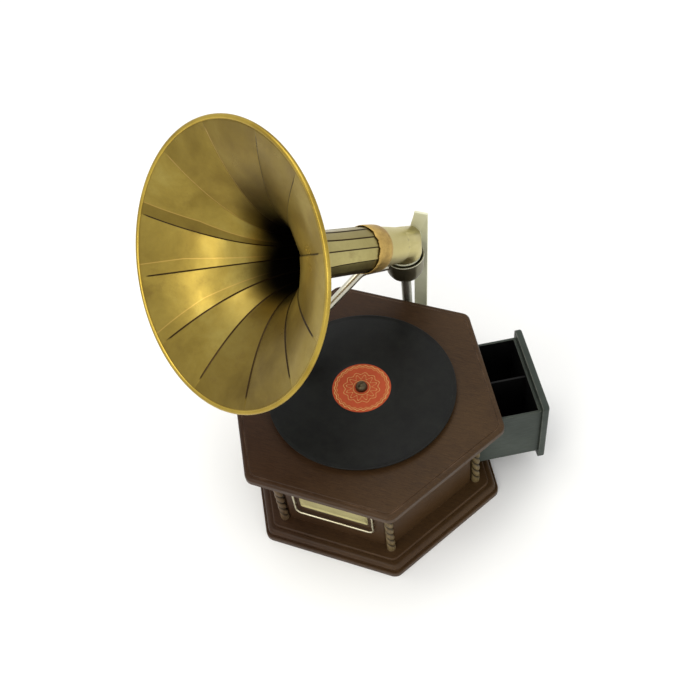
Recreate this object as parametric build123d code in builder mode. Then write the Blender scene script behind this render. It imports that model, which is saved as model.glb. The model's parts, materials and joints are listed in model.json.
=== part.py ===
from build123d import *
import math
import os

# Wind-up phonograph on a hexagonal case. Millimetres, +Z up.
# The origin is the centre of the underside of the case, on the turntable's axis.
# Corners of the case point to 0, 60, 120 ... degrees; its faces look to 30, 90, 150 ... degrees.

# ---------------------------------------------------------------- case
DECK_Z = 173.5              # top of the deck above the table
PLINTH_R = 194.5            # circumradius of the plinth
PLINTH_H = 22.0
BOTTOM_R = 142.5            # circumradius of the bottom board
BOTTOM_T = 8.0
DECK_R = 198.3              # circumradius of the deck with its moulding
DECK_BOARD_R = 190.2
DECK_T = 12.0
WALL_FACE = 136.0           # distance of a wall's outer face from the axis
WALL_T = 10.0
CORNER_CUT = 153.0          # the wall corners are cut flat here for the rope columns
COLUMN_RADIUS = 6.0
FRONT_ANGLE = 270
RIGHT_ANGLE = 330
DRAWER_ANGLE = 30
BACK_ANGLE = 90
CRANK_ANGLE = 150
LEFT_ANGLE = 210
WALL_TOP = DECK_Z - DECK_T
DIAL_DISTANCE = 137.5       # speed dial, just outside the record
DIAL_SHAFT_R = 2.5

# ---------------------------------------------------------------- drawer
DRAWER_OPEN = 95.0          # how far the drawer stands open
DRAWER_W = 131.0
DRAWER_DEPTH = 109.0
DRAWER_Z0 = 42.5
DRAWER_Z1 = 141.0
DRAWER_WALL = 3.5
DRAWER_BACK_U = WALL_FACE + 0.5 + DRAWER_OPEN
FRONT_T = 9.5

# ---------------------------------------------------------------- turntable
RECORD_R = 127.0
PLATTER_R = 123.0
PLATTER_Z = DECK_Z + 2.5
FELT_Z = DECK_Z + 6.0
RECORD_Z = DECK_Z + 6.8
RECORD_T = 2.4
LABEL_R = 39.6
SPINDLE_R = 3.6

# ---------------------------------------------------------------- horn and its bracket
POST_X = 4.0
POST_Y = 182.0
CUP_Z0 = DECK_Z + 46.0
CUP_Z1 = DECK_Z + 84.0
CUP_R = 27.5
ELBOW_Z = DECK_Z + 103.5
ELBOW_R = 24.5
SPIGOT_R = 21.3
SHEET_T = 1.2
HORN_AZIMUTH = 29.0         # the horn looks this far to the left of straight ahead
HORN_TILT = 31.4
HORN_LENGTH = 315.0
BELL_R = 171.8
NECK_R = 31.0
NECK_S = 62.0               # where the flared bell starts, measured from the elbow
FLARE_S = 100.0
FLARE_POWER = 4.0
BEAD_R = 3.2

# ---------------------------------------------------------------- motor
BED_Z = 150.0
LOWER_BED_Z = 76.0
BED_T = 3.0
BARREL_DISTANCE = 69.3
BARREL_R = 40.0
BARREL_Z0 = 120.0
BARREL_Z1 = 147.0
GEAR_MODULE = 1.0
GREAT_TEETH = 84
MIDDLE_PINION_TEETH = 14
MIDDLE_TEETH = 60
SPINDLE_TEETH = 12
MIDDLE_DISTANCE = (MIDDLE_TEETH + SPINDLE_TEETH) / 2 * GEAR_MODULE
CRANK_Z = 104.0
CRANK_ARM = 78.0
GOVERNOR_WHEEL_TEETH = 50
GOVERNOR_Y = -31.0
GOVERNOR_Z = 107.0

os.makedirs("parts", exist_ok=True)


def save(builder, name):
    """Label a finished piece and write it under its own name."""
    builder.part.label = name
    export_step(builder.part, f"parts/{name}.step")


def polar(distance, angle, z=0.0):
    """Point at a distance from the turntable's axis, in the direction of an angle."""
    turn = math.radians(angle)
    return (distance * math.cos(turn), distance * math.sin(turn), z)


def face_plane(angle, distance, z=0.0):
    """Plane facing outwards: its X runs along the wall and its Y points up."""
    turn = math.radians(angle)
    return Plane(
        origin=polar(distance, angle, z),
        x_dir=(-math.sin(turn), math.cos(turn), 0),
        z_dir=(math.cos(turn), math.sin(turn), 0),
    )


def outward_axis(angle):
    """Level axis from the turntable's axis towards a face of the case."""
    return Axis((0, 0, 0), polar(1, angle))


def floor_plane(angle, z=0.0):
    """Level plane whose X points outwards in the direction of an angle."""
    return Plane(origin=(0, 0, z), x_dir=polar(1, angle), z_dir=(0, 0, 1))


def hexagon_layer(z, height, circumradius, corner, mode=Mode.ADD):
    """Hexagonal slab with rounded corners."""
    with BuildSketch(Plane.XY.offset(z)) as outline:
        RegularPolygon(circumradius, 6)
        fillet(outline.vertices(), corner)
    extrude(outline.sketch, amount=height, mode=mode)


def disc(plane, radius, height, mode=Mode.ADD):
    """Round slab that grows from a plane along its normal."""
    with BuildSketch(plane) as outline:
        Circle(radius)
    extrude(outline.sketch, amount=height, mode=mode)


def gear_outline(teeth, module, scale=1.0):
    """Closed outline of a spur gear with straight-sided teeth and running backlash."""
    pitch = teeth * module / 2
    pitch_angle = 360 / teeth
    corners = []
    for tooth in range(teeth):
        middle = tooth * pitch_angle
        corners.append(polar(scale * (pitch - 1.3 * module), middle - 0.34 * pitch_angle)[:2])
        corners.append(polar(scale * (pitch + 0.6 * module), middle - 0.13 * pitch_angle)[:2])
        corners.append(polar(scale * (pitch + 0.6 * module), middle + 0.13 * pitch_angle)[:2])
        corners.append(polar(scale * (pitch - 1.3 * module), middle + 0.34 * pitch_angle)[:2])
    return corners


def gear(plane, teeth, module, thickness, turn=0.0):
    """Spur gear slab on a plane, turned by an angle in degrees."""
    with BuildSketch(plane.rotated((0, 0, turn))) as outline:
        Polygon(*gear_outline(teeth, module), align=None)
    extrude(outline.sketch, amount=thickness)


# ================================================================ case

with BuildPart() as plinth_moulding:
    hexagon_layer(0, 8, PLINTH_R, 14)
    fillet(plinth_moulding.edges().group_by(Axis.Z)[-1], 1.5)
    hexagon_layer(8, 10, PLINTH_R - 4.5, 13)
    fillet(plinth_moulding.edges().group_by(Axis.Z)[-1], 6)
    hexagon_layer(18, PLINTH_H - 18, PLINTH_R - 15.5, 12)
    fillet(plinth_moulding.edges().group_by(Axis.Z)[-1], 2)
    hexagon_layer(0, PLINTH_H, BOTTOM_R + 0.5, 4, Mode.SUBTRACT)
save(plinth_moulding, "plinth_moulding")

with BuildPart() as bottom_board:
    hexagon_layer(0, BOTTOM_T, BOTTOM_R, 4)
save(bottom_board, "bottom_board")


def wall_outline():
    """Mitred wall board seen from above, with its corners cut for the columns."""
    cut_t = (CORNER_CUT - WALL_FACE * math.cos(math.radians(30))) / math.sin(math.radians(30))
    mitre_n = CORNER_CUT * math.cos(math.radians(30))
    mitre_t = CORNER_CUT * math.sin(math.radians(30))
    inner_n = WALL_FACE - WALL_T
    inner_t = inner_n * math.tan(math.radians(30))
    return [
        (WALL_FACE, -cut_t), (WALL_FACE, cut_t), (mitre_n, mitre_t),
        (inner_n, inner_t), (inner_n, -inner_t), (mitre_n, -mitre_t),
    ]


def wall_board(angle):
    """One of the six boards of the case."""
    with BuildSketch(floor_plane(angle, PLINTH_H)) as outline:
        Polygon(*wall_outline(), align=None)
    extrude(outline.sketch, amount=WALL_TOP - PLINTH_H)


with BuildPart() as front_panel:
    wall_board(FRONT_ANGLE)
save(front_panel, "front_panel")

with BuildPart() as right_front_panel:
    wall_board(RIGHT_ANGLE)
save(right_front_panel, "right_front_panel")

with BuildPart() as drawer_side_panel:
    wall_board(DRAWER_ANGLE)
    with BuildSketch(face_plane(DRAWER_ANGLE, WALL_FACE + 1)):
        with Locations((0, (DRAWER_Z0 + DRAWER_Z1) / 2)):
            Rectangle(DRAWER_W + 3, DRAWER_Z1 - DRAWER_Z0 + 3)
    extrude(amount=-WALL_T - 2, mode=Mode.SUBTRACT)
save(drawer_side_panel, "drawer_side_panel")

with BuildPart() as back_panel:
    wall_board(BACK_ANGLE)
save(back_panel, "back_panel")

with BuildPart() as crank_side_panel:
    wall_board(CRANK_ANGLE)
    with BuildSketch(face_plane(CRANK_ANGLE, WALL_FACE + 1)):
        with Locations((0, CRANK_Z)):
            Circle(9)
    extrude(amount=-WALL_T - 2, mode=Mode.SUBTRACT)
save(crank_side_panel, "crank_side_panel")

with BuildPart() as left_front_panel:
    wall_board(LEFT_ANGLE)
save(left_front_panel, "left_front_panel")

with BuildPart() as corner_columns:
    for corner in range(6):
        with BuildSketch(Plane.XY.offset(PLINTH_H)):
            with Locations(polar(CORNER_CUT + COLUMN_RADIUS + 0.05, corner * 60)[:2]):
                Circle(COLUMN_RADIUS)
        extrude(amount=WALL_TOP - PLINTH_H)
save(corner_columns, "corner_columns")

with BuildPart() as deck_board:
    hexagon_layer(WALL_TOP, DECK_T, DECK_BOARD_R, 13)
    fillet(deck_board.edges().group_by(Axis.Z)[-1], 1.5)
    disc(Plane.XY.offset(WALL_TOP - 1), 6, DECK_T + 2, Mode.SUBTRACT)
    disc(Plane(polar(DIAL_DISTANCE, 180, WALL_TOP - 1)), DIAL_SHAFT_R + 0.05, DECK_T + 2, Mode.SUBTRACT)
save(deck_board, "deck_board")

with BuildPart() as deck_moulding:
    hexagon_layer(DECK_Z - 16, 5, DECK_R - 4, 13.5)
    hexagon_layer(DECK_Z - 11, 10, DECK_R, 14)
    fillet(deck_moulding.edges().group_by(Axis.Z)[-1], 4)
    hexagon_layer(DECK_Z - 17, 18, DECK_BOARD_R + 0.2, 13, Mode.SUBTRACT)
save(deck_moulding, "deck_moulding")

# ---------------------------------------------------------------- name plate

PLATE_W = 98.0
PLATE_H = 46.0
PLATE_Z = 91.0
FRAME_W = 116.0
FRAME_H = 72.0
FRAME_Z = 88.5
WIRE = 3.0

with BuildPart() as name_plate:
    with BuildSketch(face_plane(FRONT_ANGLE, WALL_FACE, PLATE_Z)):
        RectangleRounded(PLATE_W, PLATE_H, 3)
    extrude(amount=1.2)
save(name_plate, "name_plate")

with BuildPart() as name_plate_frame:
    with BuildSketch(face_plane(FRONT_ANGLE, WALL_FACE + 2.2, FRAME_Z)):
        RectangleRounded(FRAME_W, FRAME_H, 10)
        RectangleRounded(FRAME_W - 2 * WIRE, FRAME_H - 2 * WIRE, 7, mode=Mode.SUBTRACT)
    extrude(amount=WIRE)
    with BuildSketch(face_plane(FRONT_ANGLE, WALL_FACE, FRAME_Z)):
        with GridLocations(FRAME_W - WIRE, FRAME_H / 2, 2, 2):
            Circle(1.3)
    extrude(amount=3)
save(name_plate_frame, "name_plate_frame")

# ================================================================ drawer

with BuildPart() as drawer_box:
    with BuildSketch(floor_plane(DRAWER_ANGLE, DRAWER_Z0)):
        with Locations((DRAWER_BACK_U - DRAWER_DEPTH / 2, 0)):
            Rectangle(DRAWER_DEPTH, DRAWER_W)
    extrude(amount=DRAWER_Z1 - DRAWER_Z0)
    with BuildSketch(floor_plane(DRAWER_ANGLE, DRAWER_Z0 + 3)):
        with Locations((DRAWER_BACK_U - DRAWER_DEPTH / 2, 0)):
            Rectangle(DRAWER_DEPTH - 2 * DRAWER_WALL, DRAWER_W - 2 * DRAWER_WALL)
    extrude(amount=DRAWER_Z1 - DRAWER_Z0, mode=Mode.SUBTRACT)
save(drawer_box, "drawer_box")

with BuildPart() as drawer_divider:
    with BuildSketch(floor_plane(DRAWER_ANGLE, DRAWER_Z0 + 3)):
        with Locations((DRAWER_BACK_U - DRAWER_DEPTH / 2, 0)):
            Rectangle(DRAWER_DEPTH - 2 * DRAWER_WALL, 3)
    extrude(amount=90)
save(drawer_divider, "drawer_divider")

PANEL_W = 141.0
PANEL_H = 122.5
PANEL_Z = 92.2

with BuildPart() as drawer_front:
    with BuildSketch(face_plane(DRAWER_ANGLE, DRAWER_BACK_U, PANEL_Z)):
        RectangleRounded(PANEL_W, PANEL_H, 5)
    extrude(amount=FRONT_T)
    fillet(drawer_front.faces().sort_by(outward_axis(DRAWER_ANGLE))[-1].edges(), 3)
    with BuildSketch(face_plane(DRAWER_ANGLE, DRAWER_BACK_U + FRONT_T - 2.5, PANEL_Z)):
        RectangleRounded(PANEL_W - 22, PANEL_H - 22, 4)
        RectangleRounded(PANEL_W - 30, PANEL_H - 30, 3, mode=Mode.SUBTRACT)
    extrude(amount=4, mode=Mode.SUBTRACT)
save(drawer_front, "drawer_front")

with BuildPart() as drawer_knob:
    knob_plane = face_plane(DRAWER_ANGLE, DRAWER_BACK_U + FRONT_T, PANEL_Z)
    disc(knob_plane, 8, 1.2)
    disc(knob_plane.offset(1.2), 6, 1.6)
    disc(knob_plane.offset(2.8), 11, 3.2)
    fillet(drawer_knob.faces().sort_by(outward_axis(DRAWER_ANGLE))[-1].edges(), 2)
save(drawer_knob, "drawer_knob")

with BuildPart() as drawer_runners:
    for side in (-1, 1):
        with BuildSketch(floor_plane(DRAWER_ANGLE, BOTTOM_T)):
            with Locations((74, side * 50)):
                Rectangle(96, 8)
        extrude(amount=DRAWER_Z0 - 0.3 - BOTTOM_T)
save(drawer_runners, "drawer_runners")

# ================================================================ turntable and record

LABEL_Z = RECORD_Z + RECORD_T
LABEL_T = 0.3
CLAMP_Z = LABEL_Z + LABEL_T + 0.05
CLAMP_R = 8.3
CLAMP_H = 9.0
SPINDLE_TIP = CLAMP_Z + 6.0

with BuildPart() as platter:
    disc(Plane.XY.offset(PLATTER_Z), PLATTER_R, FELT_Z - PLATTER_Z)
    fillet(platter.edges().filter_by(GeomType.CIRCLE), 1)
    disc(Plane.XY.offset(PLATTER_Z - 1.5), 14, 1.5)
    disc(Plane.XY.offset(PLATTER_Z - 3), SPINDLE_R, 10, Mode.SUBTRACT)
save(platter, "platter")

with BuildPart() as platter_felt:
    disc(Plane.XY.offset(FELT_Z), PLATTER_R - 1.5, RECORD_Z - FELT_Z)
    disc(Plane.XY.offset(FELT_Z - 1), SPINDLE_R + 1, 4, Mode.SUBTRACT)
save(platter_felt, "platter_felt")

with BuildPart() as record:
    disc(Plane.XY.offset(RECORD_Z), RECORD_R, RECORD_T)
    fillet(record.edges().filter_by(GeomType.CIRCLE), 0.9)
    disc(Plane.XY.offset(RECORD_Z - 1), SPINDLE_R + 0.05, RECORD_T + 2, Mode.SUBTRACT)
save(record, "record")

with BuildPart() as record_label:
    disc(Plane.XY.offset(LABEL_Z), LABEL_R, LABEL_T)
    disc(Plane.XY.offset(LABEL_Z - 1), SPINDLE_R + 0.05, 3, Mode.SUBTRACT)
save(record_label, "record_label")

with BuildPart() as record_clamp:
    disc(Plane.XY.offset(CLAMP_Z), CLAMP_R, CLAMP_H)
    fillet(record_clamp.faces().sort_by(Axis.Z)[-1].edges(), 6)
    disc(Plane.XY.offset(CLAMP_Z - 1), SPINDLE_R + 0.05, SPINDLE_TIP - CLAMP_Z + 1.2, Mode.SUBTRACT)
save(record_clamp, "record_clamp")

# ================================================================ motor: moving pieces

BARREL_X, BARREL_Y, _ = polar(BARREL_DISTANCE, CRANK_ANGLE)
GREAT_MESH = (GREAT_TEETH + MIDDLE_PINION_TEETH) / 2 * GEAR_MODULE
mesh_cosine = (BARREL_DISTANCE**2 + MIDDLE_DISTANCE**2 - GREAT_MESH**2) / (
    2 * BARREL_DISTANCE * MIDDLE_DISTANCE
)
MIDDLE_ANGLE = CRANK_ANGLE + math.degrees(math.acos(mesh_cosine))
MIDDLE_X, MIDDLE_Y, _ = polar(MIDDLE_DISTANCE, MIDDLE_ANGLE)
BARREL_TO_MIDDLE = math.degrees(math.atan2(MIDDLE_Y - BARREL_Y, MIDDLE_X - BARREL_X))
ARBOR_R = 4.0
MIDDLE_ARBOR_R = 3.0
CRANK_SHAFT_R = 4.0
RUNNING_GAP = 0.05


def barrel_plane(z):
    """Level plane on the mainspring barrel's axis."""
    return Plane((BARREL_X, BARREL_Y, z))


def middle_plane(z):
    """Level plane on the intermediate arbor's axis."""
    return Plane((MIDDLE_X, MIDDLE_Y, z))


with BuildPart() as spindle:
    disc(Plane.XY.offset(LOWER_BED_Z - 4), SPINDLE_R, SPINDLE_TIP - LOWER_BED_Z + 4)
    fillet(spindle.faces().sort_by(Axis.Z)[-1].edges(), 2)
    half_tooth = 180 / SPINDLE_TEETH
    gear(Plane.XY.offset(82), SPINDLE_TEETH, GEAR_MODULE, 8, MIDDLE_ANGLE + half_tooth)
    gear(Plane.XY.offset(GOVERNOR_Z - 2), GOVERNOR_WHEEL_TEETH, GEAR_MODULE, 4)
    disc(Plane.XY.offset(GOVERNOR_Z - 6), 8, 4)
save(spindle, "spindle")


with BuildPart() as mainspring_barrel:
    gear(barrel_plane(BARREL_Z0), GREAT_TEETH, GEAR_MODULE, 4, BARREL_TO_MIDDLE)
    disc(barrel_plane(BARREL_Z0), BARREL_R, BARREL_Z1 - BARREL_Z0)
    disc(barrel_plane(BARREL_Z0 + 3.5), BARREL_R - 2.5, 40, Mode.SUBTRACT)
    disc(barrel_plane(BARREL_Z0 - 1), ARBOR_R + RUNNING_GAP, 40, Mode.SUBTRACT)
save(mainspring_barrel, "mainspring_barrel")

with BuildPart() as barrel_cover:
    disc(barrel_plane(BARREL_Z1 - 2), BARREL_R - 2.6, 2)
    disc(barrel_plane(BARREL_Z1 - 3), ARBOR_R + RUNNING_GAP, 4, Mode.SUBTRACT)
save(barrel_cover, "barrel_cover")

SPRING_INNER = 9.0
SPRING_OUTER = 36.0
SPRING_TURNS = 7
SPRING_STEPS = 12


def spiral(offset):
    """Points of the coiled mainspring's edge, from the arbor outwards."""
    steps = SPRING_TURNS * SPRING_STEPS
    growth = (SPRING_OUTER - SPRING_INNER) / steps
    return [polar(SPRING_INNER + offset + growth * i, 360 / SPRING_STEPS * i)[:2] for i in range(steps + 1)]


with BuildPart() as mainspring:
    with BuildSketch(barrel_plane(BARREL_Z0 + 4)):
        with BuildLine():
            inner_edge = Spline(*spiral(0))
            outer_edge = Spline(*spiral(1.0))
            Line(inner_edge @ 0, outer_edge @ 0)
            Line(inner_edge @ 1, outer_edge @ 1)
        make_face()
    extrude(amount=20)
save(mainspring, "mainspring")

WINDING_TEETH = 32
WINDING_PINION_TEETH = 16
WINDING_MODULE = 1.5
BEVEL_APEX = WINDING_TEETH * WINDING_MODULE / 2
BEVEL_KEEP = 0.7


def bevel(outer_plane, inner_plane, teeth, turn):
    """Bevel gear: the tooth outline shrinks towards the point where the two axes cross."""
    sections = []
    for plane, scale in ((outer_plane, 1.0), (inner_plane, BEVEL_KEEP)):
        with BuildSketch(plane.rotated((0, 0, turn))) as outline:
            Polygon(*gear_outline(teeth, WINDING_MODULE, scale), align=None)
        sections.append(outline.sketch)
    loft(sections, ruled=True)


WHEEL_TOP = CRANK_Z + BEVEL_APEX / 2
WHEEL_BOTTOM = CRANK_Z + BEVEL_APEX / 2 * BEVEL_KEEP


def winding_plane(z):
    """Level plane on the arbor whose X points along the crank shaft."""
    return Plane(origin=(BARREL_X, BARREL_Y, z), x_dir=polar(1, CRANK_ANGLE), z_dir=(0, 0, 1))


RATCHET_TEETH = 24
RATCHET_Z = 82.0
RATCHET_R = 14.0
RATCHET_ROOT_R = 12.2
RATCHET_STEEP = 0.12       # share of a tooth's pitch taken by its steep side

with BuildPart() as winding_arbor:
    disc(barrel_plane(LOWER_BED_Z), ARBOR_R, BED_Z + BED_T - LOWER_BED_Z)
    bevel(winding_plane(WHEEL_TOP), winding_plane(WHEEL_BOTTOM), WINDING_TEETH, 180 / WINDING_TEETH)
    disc(barrel_plane(WHEEL_TOP), 12, 2)
    with BuildSketch(barrel_plane(RATCHET_Z)) as ratchet_outline:
        teeth = [
            corner
            for k in range(RATCHET_TEETH)
            for corner in (
                polar(RATCHET_R, 360 / RATCHET_TEETH * k)[:2],
                polar(RATCHET_ROOT_R, 360 / RATCHET_TEETH * (k + RATCHET_STEEP))[:2],
            )
        ]
        Polygon(*teeth, align=None)
    extrude(ratchet_outline.sketch, amount=4)
save(winding_arbor, "winding_arbor")

with BuildPart() as intermediate_gear:
    disc(middle_plane(LOWER_BED_Z), MIDDLE_ARBOR_R, BED_Z + BED_T - LOWER_BED_Z)
    half_tooth = 180 / MIDDLE_PINION_TEETH
    gear(
        middle_plane(BARREL_Z0 - 1), MIDDLE_PINION_TEETH, GEAR_MODULE, 6,
        BARREL_TO_MIDDLE + 180 + half_tooth,
    )
    gear(middle_plane(84), MIDDLE_TEETH, GEAR_MODULE, 3, MIDDLE_ANGLE + 180)
save(intermediate_gear, "intermediate_gear")

GOVERNOR_START = 22.0
GOVERNOR_END = -72.0
GOVERNOR_COLLAR = -24.0
GOVERNOR_DISC = -58.0
PIVOT_R = 1.5


def governor_plane(x, turn=0):
    """Plane across the governor shaft; its normal points towards the weights."""
    angle = math.radians(turn)
    return Plane(
        origin=(x, GOVERNOR_Y, GOVERNOR_Z), x_dir=(0, math.cos(angle), math.sin(angle)), z_dir=(-1, 0, 0)
    )


with BuildPart() as governor_shaft:
    disc(governor_plane(GOVERNOR_START), PIVOT_R, GOVERNOR_START - GOVERNOR_END)
    disc(governor_plane(GOVERNOR_START - 3), 2.2, GOVERNOR_START - GOVERNOR_END - 8)
    for thread in range(8):
        disc(governor_plane(9 - 2.5 * thread), 5.1, 1.3)
    disc(governor_plane(9), 3.6, 19)
    disc(governor_plane(GOVERNOR_COLLAR), 8, 3)
save(governor_shaft, "governor_shaft")

with BuildPart() as governor_disc:
    disc(governor_plane(GOVERNOR_DISC), 14, 2)
    disc(governor_plane(GOVERNOR_DISC + 8), 6, 8)
    disc(governor_plane(GOVERNOR_DISC + 10), 2.2, 20, Mode.SUBTRACT)
save(governor_disc, "governor_disc")

with BuildPart() as governor_weights:
    spring_length = GOVERNOR_COLLAR - 3 - GOVERNOR_DISC
    middle = GOVERNOR_COLLAR - 3 - spring_length / 2
    for turn in (0, 120, 240):
        arm = governor_plane(middle, turn)
        with BuildSketch(arm.offset(-spring_length / 2)) as leaf:
            with Locations((6.8, 0)):
                Rectangle(0.6, 4)
        extrude(leaf.sketch, amount=spring_length)
        with BuildSketch(arm.offset(-4)) as weight:
            with Locations((11.1, 0)):
                RectangleRounded(8, 8, 2)
        extrude(weight.sketch, amount=8)
save(governor_weights, "governor_weights")

# ================================================================ motor: frame

BED_OUTLINE = [
    (15, 2), (-15, 58), (-50, 82), (-88, 72), (-112, 34),
    (-112, -22), (-84, -52), (28, -52), (31, -34),
]
PILLARS = [(-12, 41), (-106, 22), (-80, -45), (20, -45)]


def bed_plate(z):
    """One of the two plates that carry the gear train."""
    with BuildSketch(Plane.XY.offset(z)) as outline:
        Polygon(*BED_OUTLINE, align=None)
        fillet(outline.vertices(), 5)
    extrude(outline.sketch, amount=BED_T)
    disc(Plane.XY.offset(z - 1), SPINDLE_R + RUNNING_GAP, 6, Mode.SUBTRACT)
    disc(barrel_plane(z - 1), ARBOR_R + RUNNING_GAP, 6, Mode.SUBTRACT)
    disc(middle_plane(z - 1), MIDDLE_ARBOR_R + RUNNING_GAP, 6, Mode.SUBTRACT)


with BuildPart() as motor_top_plate:
    bed_plate(BED_Z)
    for x, y in PILLARS:
        disc(Plane((x, y, BED_Z - 1)), 2.6, 6, Mode.SUBTRACT)
save(motor_top_plate, "motor_top_plate")

LUG_BOTTOM = LOWER_BED_Z + BED_T
WINDING_LUG = BARREL_DISTANCE + 31

with BuildPart() as motor_bottom_plate:
    bed_plate(LOWER_BED_Z)
    for x in (GOVERNOR_END + 3, GOVERNOR_START - 1):
        with BuildSketch(Plane.XY.offset(LUG_BOTTOM)) as lug:
            with Locations((x, GOVERNOR_Y)):
                Rectangle(2, 12)
        extrude(lug.sketch, amount=GOVERNOR_Z + 6 - LUG_BOTTOM)
        disc(governor_plane(x + 5), PIVOT_R + RUNNING_GAP, 10, Mode.SUBTRACT)
    with BuildSketch(floor_plane(CRANK_ANGLE, LUG_BOTTOM)) as lug:
        with Locations((WINDING_LUG, 0)):
            Rectangle(6, 18)
    extrude(lug.sketch, amount=CRANK_Z + 9 - LUG_BOTTOM)
    disc(face_plane(CRANK_ANGLE, WINDING_LUG - 5, CRANK_Z), CRANK_SHAFT_R + RUNNING_GAP, 10, Mode.SUBTRACT)
save(motor_bottom_plate, "motor_bottom_plate")

with BuildPart() as motor_pillars:
    for x, y in PILLARS:
        disc(Plane((x, y, LUG_BOTTOM)), 4, BED_Z - LUG_BOTTOM)
        disc(Plane((x, y, BED_Z)), 2.55, WALL_TOP - BED_Z)
        disc(Plane((x, y, BED_Z + BED_T)), 6, WALL_TOP - BED_Z - BED_T)
save(motor_pillars, "motor_pillars")

# ================================================================ winding crank

CRANK_OUT = 184.0
GRIP_LENGTH = 56.0
GRIP_R = 9.0
HANDLE_Z = CRANK_Z - CRANK_ARM

with BuildPart() as crank_escutcheon:
    disc(face_plane(CRANK_ANGLE, WALL_FACE - WALL_T, CRANK_Z), 8.9, WALL_T)
    disc(face_plane(CRANK_ANGLE, WALL_FACE, CRANK_Z), 17, 3)
    fillet(crank_escutcheon.faces().sort_by(outward_axis(CRANK_ANGLE))[-1].edges(), 1.5)
    disc(face_plane(CRANK_ANGLE, 120, CRANK_Z), CRANK_SHAFT_R + RUNNING_GAP, 30, Mode.SUBTRACT)
save(crank_escutcheon, "crank_escutcheon")

CRANK_INNER = BARREL_DISTANCE + 12

with BuildPart() as crank_shaft:
    disc(face_plane(CRANK_ANGLE, CRANK_INNER, CRANK_Z), CRANK_SHAFT_R, CRANK_OUT - CRANK_INNER)
    bevel(
        face_plane(CRANK_ANGLE, BARREL_DISTANCE + BEVEL_APEX, CRANK_Z),
        face_plane(CRANK_ANGLE, BARREL_DISTANCE + BEVEL_APEX * BEVEL_KEEP, CRANK_Z),
        WINDING_PINION_TEETH,
        0,
    )
save(crank_shaft, "crank_shaft")

with BuildPart() as crank_arm:
    disc(face_plane(CRANK_ANGLE, CRANK_OUT - 6, CRANK_Z), 9, 12)
    disc(face_plane(CRANK_ANGLE, CRANK_OUT - 4, HANDLE_Z), 7, 8)
    with BuildSketch(face_plane(CRANK_ANGLE, CRANK_OUT - 3)) as arm_outline:
        with Locations((0, (CRANK_Z + HANDLE_Z) / 2)):
            Rectangle(9, CRANK_ARM)
    extrude(arm_outline.sketch, amount=6)
    disc(face_plane(CRANK_ANGLE, CRANK_OUT + 4, HANDLE_Z), 3, GRIP_LENGTH + 6)
    disc(face_plane(CRANK_ANGLE, CRANK_OUT + GRIP_LENGTH + 8, HANDLE_Z), 5, 2.5)
    disc(face_plane(CRANK_ANGLE, CRANK_OUT - 10, CRANK_Z), CRANK_SHAFT_R, 10, Mode.SUBTRACT)
save(crank_arm, "crank_arm")

with BuildPart() as crank_grip:
    with BuildSketch(face_plane(CRANK_ANGLE, CRANK_OUT + 5, HANDLE_Z)) as grip_end:
        Circle(GRIP_R - 2)
    with BuildSketch(face_plane(CRANK_ANGLE, CRANK_OUT + 5 + GRIP_LENGTH / 2, HANDLE_Z)) as grip_middle:
        Circle(GRIP_R)
    with BuildSketch(face_plane(CRANK_ANGLE, CRANK_OUT + 5 + GRIP_LENGTH, HANDLE_Z)) as grip_tip:
        Circle(GRIP_R - 2.5)
    loft([grip_end.sketch, grip_middle.sketch, grip_tip.sketch])
    disc(face_plane(CRANK_ANGLE, CRANK_OUT, HANDLE_Z), 3 + RUNNING_GAP, 80, Mode.SUBTRACT)
save(crank_grip, "crank_grip")

# ================================================================ back bracket

SHELF_Z = 112.0
SHELF_T = 8.0
STRAP_X = 13.0
STRAP_TOP_X = 20.5
STRAP_W = 19.0
STRAP_T = 3.0
STRAP_Y = 211.2
POST_R = 7.2
JOURNAL_R = 5.0
SHELF_END = STRAP_Y

with BuildPart() as bracket_base:
    with BuildSketch(face_plane(BACK_ANGLE, WALL_FACE)):
        with Locations((-12, 118)):
            RectangleRounded(72, 56, 6)
    extrude(amount=4)
    with BuildSketch(Plane.XY.offset(SHELF_Z)):
        Polygon(
            (-20, WALL_FACE + 4), (40, WALL_FACE + 4), (STRAP_X + STRAP_W / 2, SHELF_END),
            (STRAP_X - STRAP_W / 2, SHELF_END), (POST_X - 10, POST_Y), align=None,
        )
    extrude(amount=SHELF_T)
    disc(Plane((POST_X, POST_Y, SHELF_Z - 1)), JOURNAL_R, 20, Mode.SUBTRACT)
    with BuildSketch(Plane.YZ.offset(10)):
        Polygon((WALL_FACE + 4, SHELF_Z), (WALL_FACE + 4, 92), (170, SHELF_Z), align=None)
    extrude(amount=5)
save(bracket_base, "bracket_base")

with BuildPart() as bracket_screws:
    with BuildSketch(face_plane(BACK_ANGLE, WALL_FACE + 4)):
        with Locations((-12, 118)):
            with GridLocations(56, 40, 2, 2):
                Circle(4)
    extrude(amount=2)
    disc(Plane((POST_X, POST_Y, SHELF_Z - 6)), 8.5, 6)
    disc(Plane((POST_X, POST_Y, SHELF_Z - 7)), JOURNAL_R, 8, Mode.SUBTRACT)
save(bracket_screws, "bracket_screws")

with BuildPart() as support_post:
    disc(Plane((POST_X, POST_Y, SHELF_Z - 8)), JOURNAL_R, SHELF_T + 9)
    disc(Plane((POST_X, POST_Y, SHELF_Z + SHELF_T)), POST_R, CUP_Z0 - 0.3 - SHELF_Z - SHELF_T)
    disc(Plane((POST_X, POST_Y, CUP_Z0 - 2)), JOURNAL_R, 17)
save(support_post, "support_post")

STRAP_BOTTOM_Z = 106.0
STRAP_TOP_Z = DECK_Z + 139.0
RING_Z0 = CUP_Z1 + 0.7
RING_Z1 = RING_Z0 + 4.0
RING_R = 23.4
LEG_Y = POST_Y + ELBOW_R + 0.5
LEG_X = 12.0
LEG_W = 16.0
LEG_T = 2.2
LEG_BEND_Z = RING_Z0 + 24.0


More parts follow.
